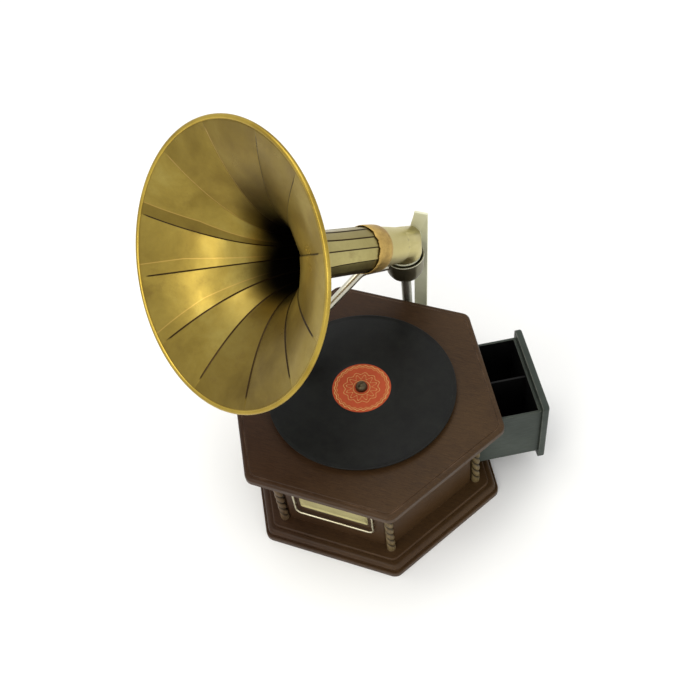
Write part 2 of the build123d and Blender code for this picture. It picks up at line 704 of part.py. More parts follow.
def strap_section(x, y, z, width, thickness):
    """Level cross-section of the flat strap."""
    with BuildSketch(Plane.XY.offset(z)) as section:
        with Locations((x, y)):
            Rectangle(width, thickness)
    return section.sketch


with BuildPart() as support_strap:
    loft([
        strap_section(STRAP_X, STRAP_Y + STRAP_T / 2, STRAP_BOTTOM_Z, STRAP_W, STRAP_T),
        strap_section(STRAP_TOP_X, STRAP_Y + STRAP_T / 2, STRAP_TOP_Z, STRAP_W, STRAP_T),
    ])
    loft([
        strap_section(STRAP_TOP_X, STRAP_Y, STRAP_TOP_Z - 3, STRAP_W, LEG_T),
        strap_section(LEG_X, LEG_Y + LEG_T / 2, LEG_BEND_Z, LEG_W, LEG_T),
    ])
    loft([
        strap_section(LEG_X, LEG_Y + LEG_T / 2, LEG_BEND_Z, LEG_W, LEG_T),
        strap_section(LEG_X, LEG_Y + LEG_T / 2, RING_Z0, LEG_W, LEG_T),
    ])
    loft([
        strap_section(STRAP_TOP_X, STRAP_Y, STRAP_TOP_Z - 3, STRAP_W, LEG_T),
        strap_section(STRAP_TOP_X, STRAP_Y + 0.6, STRAP_TOP_Z, STRAP_W, LEG_T),
    ])
    disc(Plane((POST_X, POST_Y, RING_Z0)), RING_R, RING_Z1 - RING_Z0)
    extrude(strap_section(LEG_X - LEG_W / 4, LEG_Y - 2.5, RING_Z0, LEG_W / 2, 6), amount=RING_Z1 - RING_Z0)
    disc(Plane((POST_X, POST_Y, RING_Z0 - 1)), SPIGOT_R + 0.3, 8, Mode.SUBTRACT)
save(support_strap, "support_strap")

# ================================================================ horn

azimuth = math.radians(HORN_AZIMUTH)
tilt = math.radians(HORN_TILT)
HORN_DIRECTION = Vector(
    -math.sin(azimuth) * math.cos(tilt), -math.cos(azimuth) * math.cos(tilt), math.sin(tilt)
)
HORN_SIDE = HORN_DIRECTION.cross(Vector(0, 0, 1)).normalized()
ELBOW = Vector(POST_X, POST_Y, ELBOW_Z)
HORN_AXIS = Axis(ELBOW, HORN_DIRECTION)
HORN_PROFILE = Plane(origin=ELBOW, x_dir=HORN_SIDE, z_dir=HORN_SIDE.cross(HORN_DIRECTION))
RIM_R = BELL_R - BEAD_R


def flare(s):
    """Outer radius of the bell's sheet and its slope at a distance from the elbow."""
    if s <= FLARE_S:
        return NECK_R, 0.0
    share = (s - FLARE_S) / (HORN_LENGTH - FLARE_S)
    radius = NECK_R + (RIM_R - NECK_R) * share**FLARE_POWER
    slope = FLARE_POWER * (RIM_R - NECK_R) / (HORN_LENGTH - FLARE_S) * share ** (FLARE_POWER - 1)
    return radius, slope


def flare_point(s, inset):
    """Point of the bell's profile, moved inwards square to the sheet."""
    radius, slope = flare(s)
    length = math.hypot(1, slope)
    return (radius - inset / length, s + inset * slope / length)


BELL_S = 190.0             # where the flared bell is soldered to the neck
NECK_STEPS = 5
BELL_STEPS = 8
neck_stations = [FLARE_S + (BELL_S - FLARE_S) * i / NECK_STEPS for i in range(NECK_STEPS + 1)]
bell_stations = [BELL_S + (HORN_LENGTH - BELL_S) * i / BELL_STEPS for i in range(BELL_STEPS + 1)]

with BuildPart() as horn_bell:
    with BuildSketch(HORN_PROFILE):
        with BuildLine():
            outer_flare = Spline(*[flare_point(s, 0) for s in bell_stations])
            inner_flare = Spline(*[flare_point(s, SHEET_T) for s in bell_stations])
            Line(outer_flare @ 0, inner_flare @ 0)
            Line(outer_flare @ 1, inner_flare @ 1)
        make_face()
        with Locations((RIM_R, HORN_LENGTH)):
            Circle(BEAD_R)
    revolve(axis=HORN_AXIS)
save(horn_bell, "horn_bell")

COLLAR_R = 32.7
COLLAR_END = 71.0
TUBE_START = 15.0
TUBE_END = 64.0
TUBE_END_R = 29.5

with BuildPart() as horn_neck:
    with BuildSketch(HORN_PROFILE):
        with BuildLine():
            outer_neck = Spline(*[flare_point(s, 0) for s in neck_stations])
            inner_neck = Spline(*[flare_point(s, SHEET_T) for s in neck_stations])
            Line(outer_neck @ 1, inner_neck @ 1)
            Polyline(
                inner_neck @ 0, (NECK_R - SHEET_T, NECK_S), (TUBE_END_R - 0.1, NECK_S),
                (TUBE_END_R - 0.7, NECK_S - 6), (TUBE_END_R + 0.5, NECK_S - 6.5), (COLLAR_R, NECK_S - 1),
                (COLLAR_R, COLLAR_END), (NECK_R, COLLAR_END), outer_neck @ 0,
            )
        make_face()
    revolve(axis=HORN_AXIS)
save(horn_neck, "horn_neck")

with BuildPart() as horn_tube:
    with BuildSketch(HORN_PROFILE):
        Polygon(
            (ELBOW_R, TUBE_START), (TUBE_END_R, TUBE_END),
            (TUBE_END_R - SHEET_T, TUBE_END), (ELBOW_R - SHEET_T, TUBE_START), align=None,
        )
    revolve(axis=HORN_AXIS)
save(horn_tube, "horn_tube")

SHOULDER_Z = RING_Z1 + 0.3
SPIGOT_Z = DECK_Z + 74.0

with BuildPart() as horn_elbow:
    with BuildLine() as elbow_path:
        Polyline((POST_X, POST_Y, SHOULDER_Z), ELBOW, ELBOW + HORN_DIRECTION * TUBE_START)
    with BuildSketch(Plane((POST_X, POST_Y, SHOULDER_Z))) as elbow_section:
        Circle(ELBOW_R)
        Circle(ELBOW_R - SHEET_T, mode=Mode.SUBTRACT)
    sweep(elbow_section.sketch, path=elbow_path.wire(), transition=Transition.RIGHT)
    disc(Plane((POST_X, POST_Y, SHOULDER_Z)), ELBOW_R - 0.5, 1.2)
    disc(Plane((POST_X, POST_Y, SPIGOT_Z)), SPIGOT_R, SHOULDER_Z + 0.6 - SPIGOT_Z)
    disc(
        Plane((POST_X, POST_Y, SPIGOT_Z - 1)), SPIGOT_R - SHEET_T, SHOULDER_Z + 3 - SPIGOT_Z,
        Mode.SUBTRACT,
    )
save(horn_elbow, "horn_elbow")

# ================================================================ tonearm and soundbox

ARM_R = 6.0
ARM_BORE = 4.6
ARM_START_Z = DECK_Z + 71.0
ARM_BEND = Vector(-45, 141, DECK_Z + 77)
ARM_JOINT = Vector(-85.3, 56, DECK_Z + 54.6)
CUP_FACE = 24.6
to_bend = Vector(ARM_BEND.X - POST_X, ARM_BEND.Y - POST_Y, 0).normalized()
ARM_START = Vector(POST_X + to_bend.X * CUP_FACE, POST_Y + to_bend.Y * CUP_FACE, ARM_START_Z)
START_DIRECTION = (ARM_BEND - ARM_START).normalized()
ARM_DIRECTION = (ARM_JOINT - ARM_BEND).normalized()
ARM_LEVEL = Vector(ARM_DIRECTION.X, ARM_DIRECTION.Y, 0).normalized()
ARM_SIDE = Vector(-ARM_LEVEL.Y, ARM_LEVEL.X, 0)
BALL_R = 7.8
SOCKET_R = 8.1
SOCKET_OUTER = 9.4
SOCKET_DEPTH = 6.9         # the tube ends inside the socket's shell
PIN_R = 1.5

with BuildPart() as swivel_cup:
    with BuildSketch(Plane(origin=(POST_X, POST_Y, 0), x_dir=(1, 0, 0), z_dir=(0, -1, 0))):
        with BuildLine():
            Polyline((JOURNAL_R + RUNNING_GAP, CUP_Z0), (12, CUP_Z0))
            ThreePointArc((12, CUP_Z0), (22.5, CUP_Z0 + 4.6), (26.3, CUP_Z0 + 15))
            Polyline((26.3, CUP_Z0 + 15), (CUP_R, CUP_Z1), (CUP_R - 1.5, CUP_Z1), (24.8, CUP_Z0 + 15.5))
            ThreePointArc((24.8, CUP_Z0 + 15.5), (21.2, CUP_Z0 + 6.4), (12, CUP_Z0 + 3))
            Polyline(
                (12, CUP_Z0 + 3), (9, CUP_Z0 + 3), (9, CUP_Z0 + 16),
                (JOURNAL_R + RUNNING_GAP, CUP_Z0 + 16), (JOURNAL_R + RUNNING_GAP, CUP_Z0),
            )
        make_face()
    revolve(axis=Axis((POST_X, POST_Y, 0), (0, 0, 1)))
    disc(Plane(origin=ARM_START, z_dir=START_DIRECTION), ARM_R + 0.02, 10, Mode.SUBTRACT)
save(swivel_cup, "swivel_cup")

with BuildPart() as tonearm_tube:
    with BuildLine() as arm_path:
        FilletPolyline(ARM_START, ARM_BEND, ARM_JOINT - ARM_DIRECTION * SOCKET_DEPTH, radius=26)
    with BuildSketch(Plane(origin=ARM_START, z_dir=START_DIRECTION)) as arm_section:
        Circle(ARM_R)
        Circle(ARM_BORE, mode=Mode.SUBTRACT)
    sweep(arm_section.sketch, path=arm_path.wire())
    with Locations(ARM_JOINT):
        Sphere(SOCKET_OUTER)
    with Locations(ARM_JOINT):
        Sphere(SOCKET_R, mode=Mode.SUBTRACT)
    disc(Plane(origin=ARM_JOINT + ARM_DIRECTION * 3.5, z_dir=ARM_DIRECTION), 12, 10, Mode.SUBTRACT)
    with BuildSketch(Plane(origin=ARM_JOINT, x_dir=ARM_SIDE, z_dir=(0, 0, 1))) as slot:
        with Locations((0, -4.5)):
            Rectangle(11.8, 15)
    extrude(slot.sketch, amount=12, mode=Mode.SUBTRACT)
    disc(Plane(origin=ARM_JOINT - ARM_DIRECTION * 14, z_dir=ARM_DIRECTION), ARM_BORE, 10, Mode.SUBTRACT)
    disc(Plane(origin=ARM_JOINT - ARM_SIDE * 12, z_dir=ARM_SIDE), PIN_R, 24, Mode.SUBTRACT)
save(tonearm_tube, "tonearm_tube")

with BuildPart() as gooseneck_pin:
    disc(Plane(origin=ARM_JOINT - ARM_SIDE * 9.0, z_dir=ARM_SIDE), PIN_R, 18.0)
save(gooseneck_pin, "gooseneck_pin")

NECK_REACH = 28.0
SOUNDBOX_SIDE = 9.0
SOUNDBOX_R = 24.0
SOUNDBOX_T = 9.0
TO_SPINDLE = ARM_SIDE * (-1 if ARM_SIDE.X < 0 else 1)
NECK_BEND = ARM_JOINT + ARM_DIRECTION * NECK_REACH
NECK_END = NECK_BEND + TO_SPINDLE * SOUNDBOX_SIDE


def soundbox_plane(distance):
    """Upright plane across the soundbox's axis, measured from the gooseneck's end."""
    return Plane(origin=NECK_END + TO_SPINDLE * distance, x_dir=ARM_LEVEL * -1, z_dir=TO_SPINDLE)


with BuildPart() as gooseneck:
    with BuildLine() as neck_path:
        FilletPolyline(ARM_JOINT + ARM_DIRECTION * 3, NECK_BEND, NECK_END, radius=8)
    with BuildSketch(Plane(origin=ARM_JOINT + ARM_DIRECTION * 3, z_dir=ARM_DIRECTION)) as neck_section:
        Circle(5.5)
        Circle(4.2, mode=Mode.SUBTRACT)
    sweep(neck_section.sketch, path=neck_path.wire())
    with Locations(ARM_JOINT):
        Sphere(BALL_R)
    disc(Plane(origin=ARM_JOINT - ARM_DIRECTION * 9, z_dir=ARM_DIRECTION), 4.2, 15, Mode.SUBTRACT)
    disc(Plane(origin=ARM_JOINT - ARM_SIDE * 9, z_dir=ARM_SIDE), PIN_R + RUNNING_GAP, 18, Mode.SUBTRACT)
save(gooseneck, "gooseneck")

with BuildPart() as soundbox_body:
    disc(soundbox_plane(0), SOUNDBOX_R, SOUNDBOX_T)
    fillet(soundbox_body.edges().filter_by(GeomType.CIRCLE), 1.2)
    disc(soundbox_plane(2.5), SOUNDBOX_R - 2.5, 10, Mode.SUBTRACT)
    disc(soundbox_plane(-1), 4.2, 6, Mode.SUBTRACT)
save(soundbox_body, "soundbox_body")

with BuildPart() as diaphragm:
    disc(soundbox_plane(SOUNDBOX_T - 0.6), SOUNDBOX_R - 2.6, 0.6)
save(diaphragm, "diaphragm")

with BuildPart() as soundbox_ring:
    disc(soundbox_plane(SOUNDBOX_T), SOUNDBOX_R, 2.5)
    fillet(soundbox_ring.edges().filter_by(GeomType.CIRCLE), 0.8)
    disc(soundbox_plane(SOUNDBOX_T - 1), SOUNDBOX_R - 5, 6, Mode.SUBTRACT)
save(soundbox_ring, "soundbox_ring")

BAR_OUT = SOUNDBOX_T + 4.0
NEEDLE_TIP_Z = LABEL_Z + 0.05
needle_top = NECK_END + TO_SPINDLE * (BAR_OUT + 1.0)
HOLDER_Z = needle_top.Z - SOUNDBOX_R - 3.5

with BuildPart() as stylus_bar:
    with BuildSketch(soundbox_plane(BAR_OUT)):
        with Locations((0, -(SOUNDBOX_R - 1) / 2)):
            Rectangle(3, SOUNDBOX_R + 3)
        Circle(2.5)
    extrude(amount=2)
    disc(soundbox_plane(SOUNDBOX_T), 1.2, BAR_OUT - SOUNDBOX_T)
    disc(Plane((needle_top.X, needle_top.Y, HOLDER_Z)), 2.4, 5)
    disc(Plane((needle_top.X, needle_top.Y, HOLDER_Z - 1)), 0.7, 5, Mode.SUBTRACT)
save(stylus_bar, "stylus_bar")

with BuildPart() as needle:
    disc(Plane((needle_top.X, needle_top.Y, NEEDLE_TIP_Z + 3)), 0.7, HOLDER_Z + 4 - NEEDLE_TIP_Z - 3)
    with BuildSketch(Plane((needle_top.X, needle_top.Y, NEEDLE_TIP_Z))) as needle_tip:
        Circle(0.15)
    with BuildSketch(Plane((needle_top.X, needle_top.Y, NEEDLE_TIP_Z + 3))) as needle_shank:
        Circle(0.7)
    loft([needle_tip.sketch, needle_shank.sketch])
save(needle, "needle")

# ================================================================ brake and speed control

BRAKE_PIVOT = polar(150, 172)
BRAKE_PAD = polar(129.5, 164)
DIAL = polar(DIAL_DISTANCE, 180)
brake_angle = math.degrees(math.atan2(BRAKE_PAD[1] - BRAKE_PIVOT[1], BRAKE_PAD[0] - BRAKE_PIVOT[0]))
BRAKE_REACH = math.dist(BRAKE_PIVOT[:2], BRAKE_PAD[:2])


def brake_plane(z):
    """Level plane on the brake's pivot whose X points along its lever to the pad."""
    turn = math.radians(brake_angle)
    return Plane(
        origin=(BRAKE_PIVOT[0], BRAKE_PIVOT[1], z), x_dir=(math.cos(turn), math.sin(turn), 0), z_dir=(0, 0, 1)
    )


with BuildPart() as brake_lever:
    with BuildSketch(brake_plane(DECK_Z + 0.5)):
        with Locations(((BRAKE_REACH - 16) / 2, 0)):
            Rectangle(BRAKE_REACH + 16, 6)
        Circle(6)
    extrude(amount=1.6)
    disc(brake_plane(DECK_Z + 0.5), 3.5, 5)
    with BuildSketch(brake_plane(DECK_Z + 0.5)):
        with Locations((-16, 0)):
            Circle(4.5)
    extrude(amount=7)
    with BuildSketch(brake_plane(DECK_Z + 0.5)):
        with Locations((BRAKE_REACH, 0)):
            Circle(3)
    extrude(amount=5.3)
save(brake_lever, "brake_lever")


REGULATOR = (-66.0, -46.0)
REGULATOR_PAD = (-62.3, -23.0)
REGULATOR_Z = 97.0
REGULATOR_T = 3.0
REGULATOR_W = 3.6
REGULATOR_REACH = math.dist(REGULATOR, DIAL[:2])
REGULATOR_TURN = math.degrees(math.atan2(DIAL[1] - REGULATOR[1], DIAL[0] - REGULATOR[0]))
ECCENTRIC = 2.8
ECCENTRIC_PIN_R = 1.2
DIAL_WEB_Z = REGULATOR_Z + REGULATOR_T + 1


def regulator_plane(z):
    """Level plane on the regulator's pivot whose X points to the speed dial's shaft."""
    turn = math.radians(REGULATOR_TURN)
    return Plane(origin=(*REGULATOR, z), x_dir=(math.cos(turn), math.sin(turn), 0), z_dir=(0, 0, 1))


def regulator_sketch(x, width, height):
    """Rectangle on the regulator's level, centred on the line to the speed dial."""
    with BuildSketch(regulator_plane(REGULATOR_Z)) as outline:
        with Locations((x, 0)):
            Rectangle(width, height)
    return outline.sketch


with BuildPart() as speed_dial:
    disc(Plane((DIAL[0], DIAL[1], DECK_Z + 0.4)), 9, 1.6)
    disc(Plane((DIAL[0], DIAL[1], DECK_Z + 2)), 7, 8)
    fillet(speed_dial.faces().sort_by(Axis.Z)[-1].edges(), 1.5)
    disc(Plane((DIAL[0], DIAL[1], DIAL_WEB_Z)), DIAL_SHAFT_R, DECK_Z + 1 - DIAL_WEB_Z)
    disc(Plane((DIAL[0], DIAL[1], DIAL_WEB_Z)), 4.8, 2)
    with BuildSketch(regulator_plane(REGULATOR_Z - 1)):
        with Locations((REGULATOR_REACH - ECCENTRIC, 0)):
            Circle(ECCENTRIC_PIN_R)
    extrude(amount=DIAL_WEB_Z - REGULATOR_Z + 2)
save(speed_dial, "speed_dial")

FORK_SLOT = 2 * ECCENTRIC_PIN_R + 1.1
FORK_START = REGULATOR_REACH - 8
FORK_LENGTH = 10.0

with BuildPart() as regulator_lever:
    extrude(regulator_sketch(FORK_START / 2, FORK_START, REGULATOR_W), amount=REGULATOR_T)
    extrude(regulator_sketch(FORK_START + FORK_LENGTH / 2, FORK_LENGTH, FORK_SLOT + 3), amount=REGULATOR_T)
    extrude(
        regulator_sketch(FORK_START + 2 + FORK_LENGTH / 2, FORK_LENGTH, FORK_SLOT),
        amount=REGULATOR_T, mode=Mode.SUBTRACT,
    )
    with BuildSketch(Plane.XY.offset(REGULATOR_Z)):
        Polygon(
            (REGULATOR[0] - 2, REGULATOR[1]), (REGULATOR[0] + 2, REGULATOR[1]),
            (REGULATOR_PAD[0] + 1, REGULATOR_PAD[1] + 2), (REGULATOR_PAD[0] - 1.2, REGULATOR_PAD[1] + 2),
            align=None,
        )
    extrude(amount=REGULATOR_T)
    disc(Plane((*REGULATOR, LUG_BOTTOM)), 2.5, REGULATOR_Z + REGULATOR_T - LUG_BOTTOM)
    with BuildSketch(Plane.XY.offset(REGULATOR_Z)):
        with Locations(REGULATOR_PAD):
            Rectangle(2.4, 5)
    extrude(amount=14)
save(regulator_lever, "regulator_lever")

# ================================================================ ratchet pawl

PAWL_LIFT = 4.5            # drawn lifted this far, just clear of the teeth that pass under it
PAWL_EYE_R = 3.5
PAWL_PIVOT = polar(26, 70)


def pawl_point(distance, angle):
    """Point of the pawl, given where it lies when the tip is down in a tooth."""
    down = polar(distance, angle)
    turn = math.radians(PAWL_LIFT)
    across = down[0] - PAWL_PIVOT[0]
    along = down[1] - PAWL_PIVOT[1]
    return (
        PAWL_PIVOT[0] + across * math.cos(turn) - along * math.sin(turn),
        PAWL_PIVOT[1] + across * math.sin(turn) + along * math.cos(turn),
    )


PAWL_TIP = pawl_point(13.1, 32.6)
PAWL_HEEL = pawl_point(17.8, 35)
pawl_length = math.dist(PAWL_PIVOT[:2], PAWL_TIP)
PAWL_NORMAL = ((PAWL_PIVOT[1] - PAWL_TIP[1]) / pawl_length, (PAWL_TIP[0] - PAWL_PIVOT[0]) / pawl_length)

with BuildPart() as ratchet_pawl:
    with BuildSketch(barrel_plane(RATCHET_Z)):
        Polygon(
            PAWL_TIP, PAWL_HEEL,
            (PAWL_PIVOT[0] + PAWL_EYE_R * PAWL_NORMAL[0], PAWL_PIVOT[1] + PAWL_EYE_R * PAWL_NORMAL[1]),
            (PAWL_PIVOT[0] - PAWL_EYE_R * PAWL_NORMAL[0], PAWL_PIVOT[1] - PAWL_EYE_R * PAWL_NORMAL[1]),
            align=None,
        )
        with Locations(PAWL_PIVOT[:2]):
            Circle(PAWL_EYE_R)
    extrude(amount=4)
    disc(Plane((BARREL_X + PAWL_PIVOT[0], BARREL_Y + PAWL_PIVOT[1], LUG_BOTTOM)), 2, 9)
save(ratchet_pawl, "ratchet_pawl")
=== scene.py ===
import bmesh
import bpy
import json
import math
from mathutils import Matrix, Vector, noise


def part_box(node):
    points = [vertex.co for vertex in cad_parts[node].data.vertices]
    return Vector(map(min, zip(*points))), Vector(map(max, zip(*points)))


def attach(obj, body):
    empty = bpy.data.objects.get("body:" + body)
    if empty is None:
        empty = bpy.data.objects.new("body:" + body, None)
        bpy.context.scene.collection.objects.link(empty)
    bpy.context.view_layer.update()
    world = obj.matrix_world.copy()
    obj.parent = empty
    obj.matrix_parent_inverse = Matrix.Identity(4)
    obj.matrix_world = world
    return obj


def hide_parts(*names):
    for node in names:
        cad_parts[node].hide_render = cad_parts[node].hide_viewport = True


# Looks for the wind-up phonograph, in metres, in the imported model's own frame.
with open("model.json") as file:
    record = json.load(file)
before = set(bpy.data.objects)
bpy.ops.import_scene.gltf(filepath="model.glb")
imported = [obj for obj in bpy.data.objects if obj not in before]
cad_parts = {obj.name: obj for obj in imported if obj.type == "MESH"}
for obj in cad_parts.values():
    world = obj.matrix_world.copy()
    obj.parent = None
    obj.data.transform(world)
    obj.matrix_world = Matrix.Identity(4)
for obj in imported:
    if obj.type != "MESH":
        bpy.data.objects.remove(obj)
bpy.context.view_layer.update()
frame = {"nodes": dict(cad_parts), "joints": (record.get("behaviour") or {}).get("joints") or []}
MM = 0.001
JOINTS = {joint["name"]: joint for joint in frame["joints"]}

# ---------------------------------------------------------------- the horn's driving sizes
HORN_AZIMUTH = math.radians(29.0)           # to the left of straight ahead
HORN_TILT = math.radians(31.4)              # above level
HORN_LENGTH = 315 * MM                      # from the elbow to the bell's rim, along the axis
BELL_R = 171.8 * MM                         # outside of the rolled rim
BEAD_R = 3.2 * MM
NECK_R = 31 * MM
NECK_START = 62 * MM
FLARE_START = 100 * MM
FLARE_POWER = 4.0
ELBOW_ABOVE_DECK = 103.5 * MM
SHEET = 1.2 * MM
PANELS = 12                                 # soldered sheet panels round the bell

DECK_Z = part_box("deck_board")[1].z
POST = Vector(JOINTS["horn_swivel"]["pos_m"])
ELBOW = Vector((POST.x, POST.y, DECK_Z + ELBOW_ABOVE_DECK))
HORN_DIRECTION = Vector((
    -math.sin(HORN_AZIMUTH) * math.cos(HORN_TILT),
    -math.cos(HORN_AZIMUTH) * math.cos(HORN_TILT),
    math.sin(HORN_TILT),
))
HORN_SIDE = HORN_DIRECTION.cross(Vector((0, 0, 1))).normalized()
HORN_TOP = HORN_SIDE.cross(HORN_DIRECTION)
UP = Vector((0, 0, 1))


# ================================================================ camera, light and stage

VIEW_AZIMUTH = math.radians(26.848)
VIEW_ELEVATION = math.radians(52.056)
VIEW_ROLL = math.radians(-8.417)
VIEW_DISTANCE = 1.3303
VIEW_ASIDE = -0.01636
VIEW_ABOVE = 0.05626
VIEW_LENS = 50.66                           # mm, for the sensor's width below
SENSOR_WIDTH = 36


def make_camera():
    """Pinhole camera that looks down on the right front of the case."""
    back = Vector((
        math.sin(VIEW_AZIMUTH) * math.cos(VIEW_ELEVATION),
        -math.cos(VIEW_AZIMUTH) * math.cos(VIEW_ELEVATION),
        math.sin(VIEW_ELEVATION),
    ))
    level = UP.cross(back).normalized()
    upright = back.cross(level)
    right = level * math.cos(VIEW_ROLL) + upright * math.sin(VIEW_ROLL)
    above = upright * math.cos(VIEW_ROLL) - level * math.sin(VIEW_ROLL)
    place = Vector((0, 0, DECK_Z)) + back * VIEW_DISTANCE + right * VIEW_ASIDE + above * VIEW_ABOVE
    data = bpy.data.cameras.new("camera")
    data.lens = VIEW_LENS
    data.sensor_width = SENSOR_WIDTH
    data.clip_end = 20
    camera = bpy.data.objects.new("camera", data)
    turn = Matrix((right, above, back)).transposed()
    camera.matrix_world = Matrix.Translation(place) @ turn.to_4x4()
    bpy.context.scene.collection.objects.link(camera)
    bpy.context.scene.camera = camera


def area_light(name, place, target, size, power, colour=(1, 1, 1), along=(1, 0, 0)):
    """Soft lamp aimed at a point: (length along a direction, width), in metres."""
    data = bpy.data.lights.new(name, "AREA")
    data.shape = "RECTANGLE"
    data.size, data.size_y = size
    data.energy = power
    data.color = colour
    lamp = bpy.data.objects.new(name, data)
    back = (Vector(place) - Vector(target)).normalized()
    upright = back.cross(Vector(along)).normalized()
    turn = Matrix((upright.cross(back), upright, back)).transposed()
    lamp.matrix_world = Matrix.Translation(place) @ turn.to_4x4()
    bpy.context.scene.collection.objects.link(lamp)


def make_stage():
    """Pale floor, pale surroundings and soft studio lamps."""
    world = bpy.data.worlds.new("studio")
    world.use_nodes = True
    background = world.node_tree.nodes["Background"]
    background.inputs["Color"].default_value = (1.0, 1.0, 1.0, 1)
    background.inputs["Strength"].default_value = 0.95
    bpy.context.scene.world = world
    middle = (0, 0, 0.2)
    area_light("key", (-0.6, 0.2, 2.4), middle, (1.2, 1.2), 14, (1.0, 0.98, 0.92))
    area_light("fill", (1.9, -1.5, 1.6), middle, (1.6, 1.6), 5, (0.95, 0.98, 1.0))
    area_light("window", (-0.34, -1.19, 1.44), (-0.18, -0.02, 0.37), (1.4, 0.4), 8,
               (1.0, 0.97, 0.88), along=(0.65, -0.45, -0.38))
    half = 6.0
    corners = [(-half, -half, 0), (half, -half, 0), (half, half, 0), (-half, half, 0)]
    floor = mesh_object("floor", corners, [(0, 1, 2, 3)])
    paint = Paint("floor_paper", roughness=0.9)
    patches = paint.noise(3.0, detail=2)
    paint.colour(paint.ramp(patches, [(0.3, (0.93, 0.93, 0.92)), (0.7, (0.96, 0.96, 0.95))]))
    floor.data.materials.append(paint.material)
    bpy.context.scene.view_settings.view_transform = "Standard"


# ================================================================ material kit


class Paint:
    """One procedural material, built node by node in object coordinates."""

    def __init__(self, name, roughness=0.5, metallic=0.0, specular=0.5):
        self.material = bpy.data.materials.new(name)
        self.material.use_nodes = True
        self.tree = self.material.node_tree
        self.shader = self.tree.nodes["Principled BSDF"]
        self.shader.inputs["Roughness"].default_value = roughness
        self.shader.inputs["Metallic"].default_value = metallic
        self.shader.inputs["Specular IOR Level"].default_value = specular
        self.place = self.node("ShaderNodeTexCoord").outputs["Object"]
        self.relief = None

    def node(self, kind, **settings):
        made = self.tree.nodes.new(kind)
        for key, value in settings.items():
            setattr(made, key, value)
        return made

    def feed(self, socket, value):
        if isinstance(value, bpy.types.NodeSocket):
            self.tree.links.new(value, socket)
        elif isinstance(value, tuple) and len(value) == 3 and socket.type == "RGBA":
            socket.default_value = (*value, 1)
        else:
            socket.default_value = value

    def mapped(self, scale):
        """Object coordinates, scaled along each axis."""
        mapping = self.node("ShaderNodeMapping")
        self.feed(mapping.inputs["Vector"], self.place)
        mapping.inputs["Scale"].default_value = scale
        return mapping.outputs["Vector"]

    def noise(self, scale, detail=4.0, rough=0.55, distortion=0.0, vector=None):
        made = self.node("ShaderNodeTexNoise")
        self.feed(made.inputs["Vector"], self.place if vector is None else vector)
        made.inputs["Scale"].default_value = scale
        made.inputs["Detail"].default_value = detail
        made.inputs["Roughness"].default_value = rough
        made.inputs["Distortion"].default_value = distortion
        return made.outputs["Fac"]

    def cells(self, scale):
        made = self.node("ShaderNodeTexVoronoi")
        self.feed(made.inputs["Vector"], self.place)
        made.inputs["Scale"].default_value = scale
        return made.outputs["Distance"]

    def calc(self, operation, a, b=0.0):
        made = self.node("ShaderNodeMath", operation=operation)
        self.feed(made.inputs[0], a)
        self.feed(made.inputs[1], b)
        return made.outputs[0]

    def times(self, a, b):
        return self.calc("MULTIPLY", a, b)

    def plus(self, a, b):
        return self.calc("ADD", a, b)

    def minus(self, a, b):
        return self.calc("SUBTRACT", a, b)

    def ramp(self, factor, stops):
        """Colour (or grey) stops along a factor."""
        made = self.node("ShaderNodeValToRGB")
        elements = made.color_ramp.elements
        while len(elements) < len(stops):
            elements.new(0.5)
        for element, (position, colour) in zip(elements, stops):
            shade = colour if isinstance(colour, tuple) else (colour,) * 3
            element.position = position
            element.color = (*shade, 1)
        self.feed(made.inputs["Fac"], factor)
        return made.outputs["Color"]

    def rise(self, factor, low, high):
        """0 below one value of a factor, 1 above another, and straight between them."""
        return self.ramp(factor, [(low, 0.0), (high, 1.0)])

    def mix(self, factor, a, b, blend="MIX"):
        made = self.node("ShaderNodeMix", data_type="RGBA", blend_type=blend)
        self.feed(made.inputs[0], factor)
        self.feed(made.inputs[6], a)
        self.feed(made.inputs[7], b)
        return made.outputs[2]

    def attribute(self, name):
        return self.node("ShaderNodeAttribute", attribute_name=name).outputs["Fac"]

    def split(self):
        """Object coordinates as three numbers."""
        made = self.node("ShaderNodeSeparateXYZ")
        self.feed(made.inputs[0], self.place)
        return made.outputs

    def distance(self, x, y):
        """How far a point is from the turntable's axis."""
        return self.calc("SQRT", self.plus(self.times(x, x), self.times(y, y)))

    def combined(self, value):
        """A vector with the same value on all three axes."""
        made = self.node("ShaderNodeCombineXYZ")
        for socket in made.inputs:
            self.feed(socket, value)
        return made.outputs[0]

    def edges(self, reach=2.5 * MM):
        """Near 1 on outer edges and corners, where a finish wears through."""
        inside = self.node("ShaderNodeAmbientOcclusion", samples=4, inside=True)
        inside.inputs["Distance"].default_value = reach
        return self.ramp(inside.outputs["AO"], [(0.35, 1.0), (0.8, 0.0)])

    def colour(self, value):
        self.feed(self.shader.inputs["Base Color"], value)
        return self

    def roughness(self, value):
        self.feed(self.shader.inputs["Roughness"], value)
        return self

    def bump(self, height, distance, strength=1.0):
        """Adds relief; several calls add up."""
        made = self.node("ShaderNodeBump")
        self.feed(made.inputs["Height"], height)
        made.inputs["Distance"].default_value = distance
        made.inputs["Strength"].default_value = strength
        if self.relief is not None:
            self.feed(made.inputs["Normal"], self.relief)
        self.relief = made.outputs["Normal"]
        self.feed(self.shader.inputs["Normal"], self.relief)
        return self


def shaded(colour, factor):
    """A colour made darker or lighter, but never over full white."""
    return tuple(min(1.0, channel * factor) for channel in colour)


RIGHT_SIDE_LIGHT = (1.45, 1.75, 1.35)                 # painted light: how much lighter and greener the wood is painted towards its right side
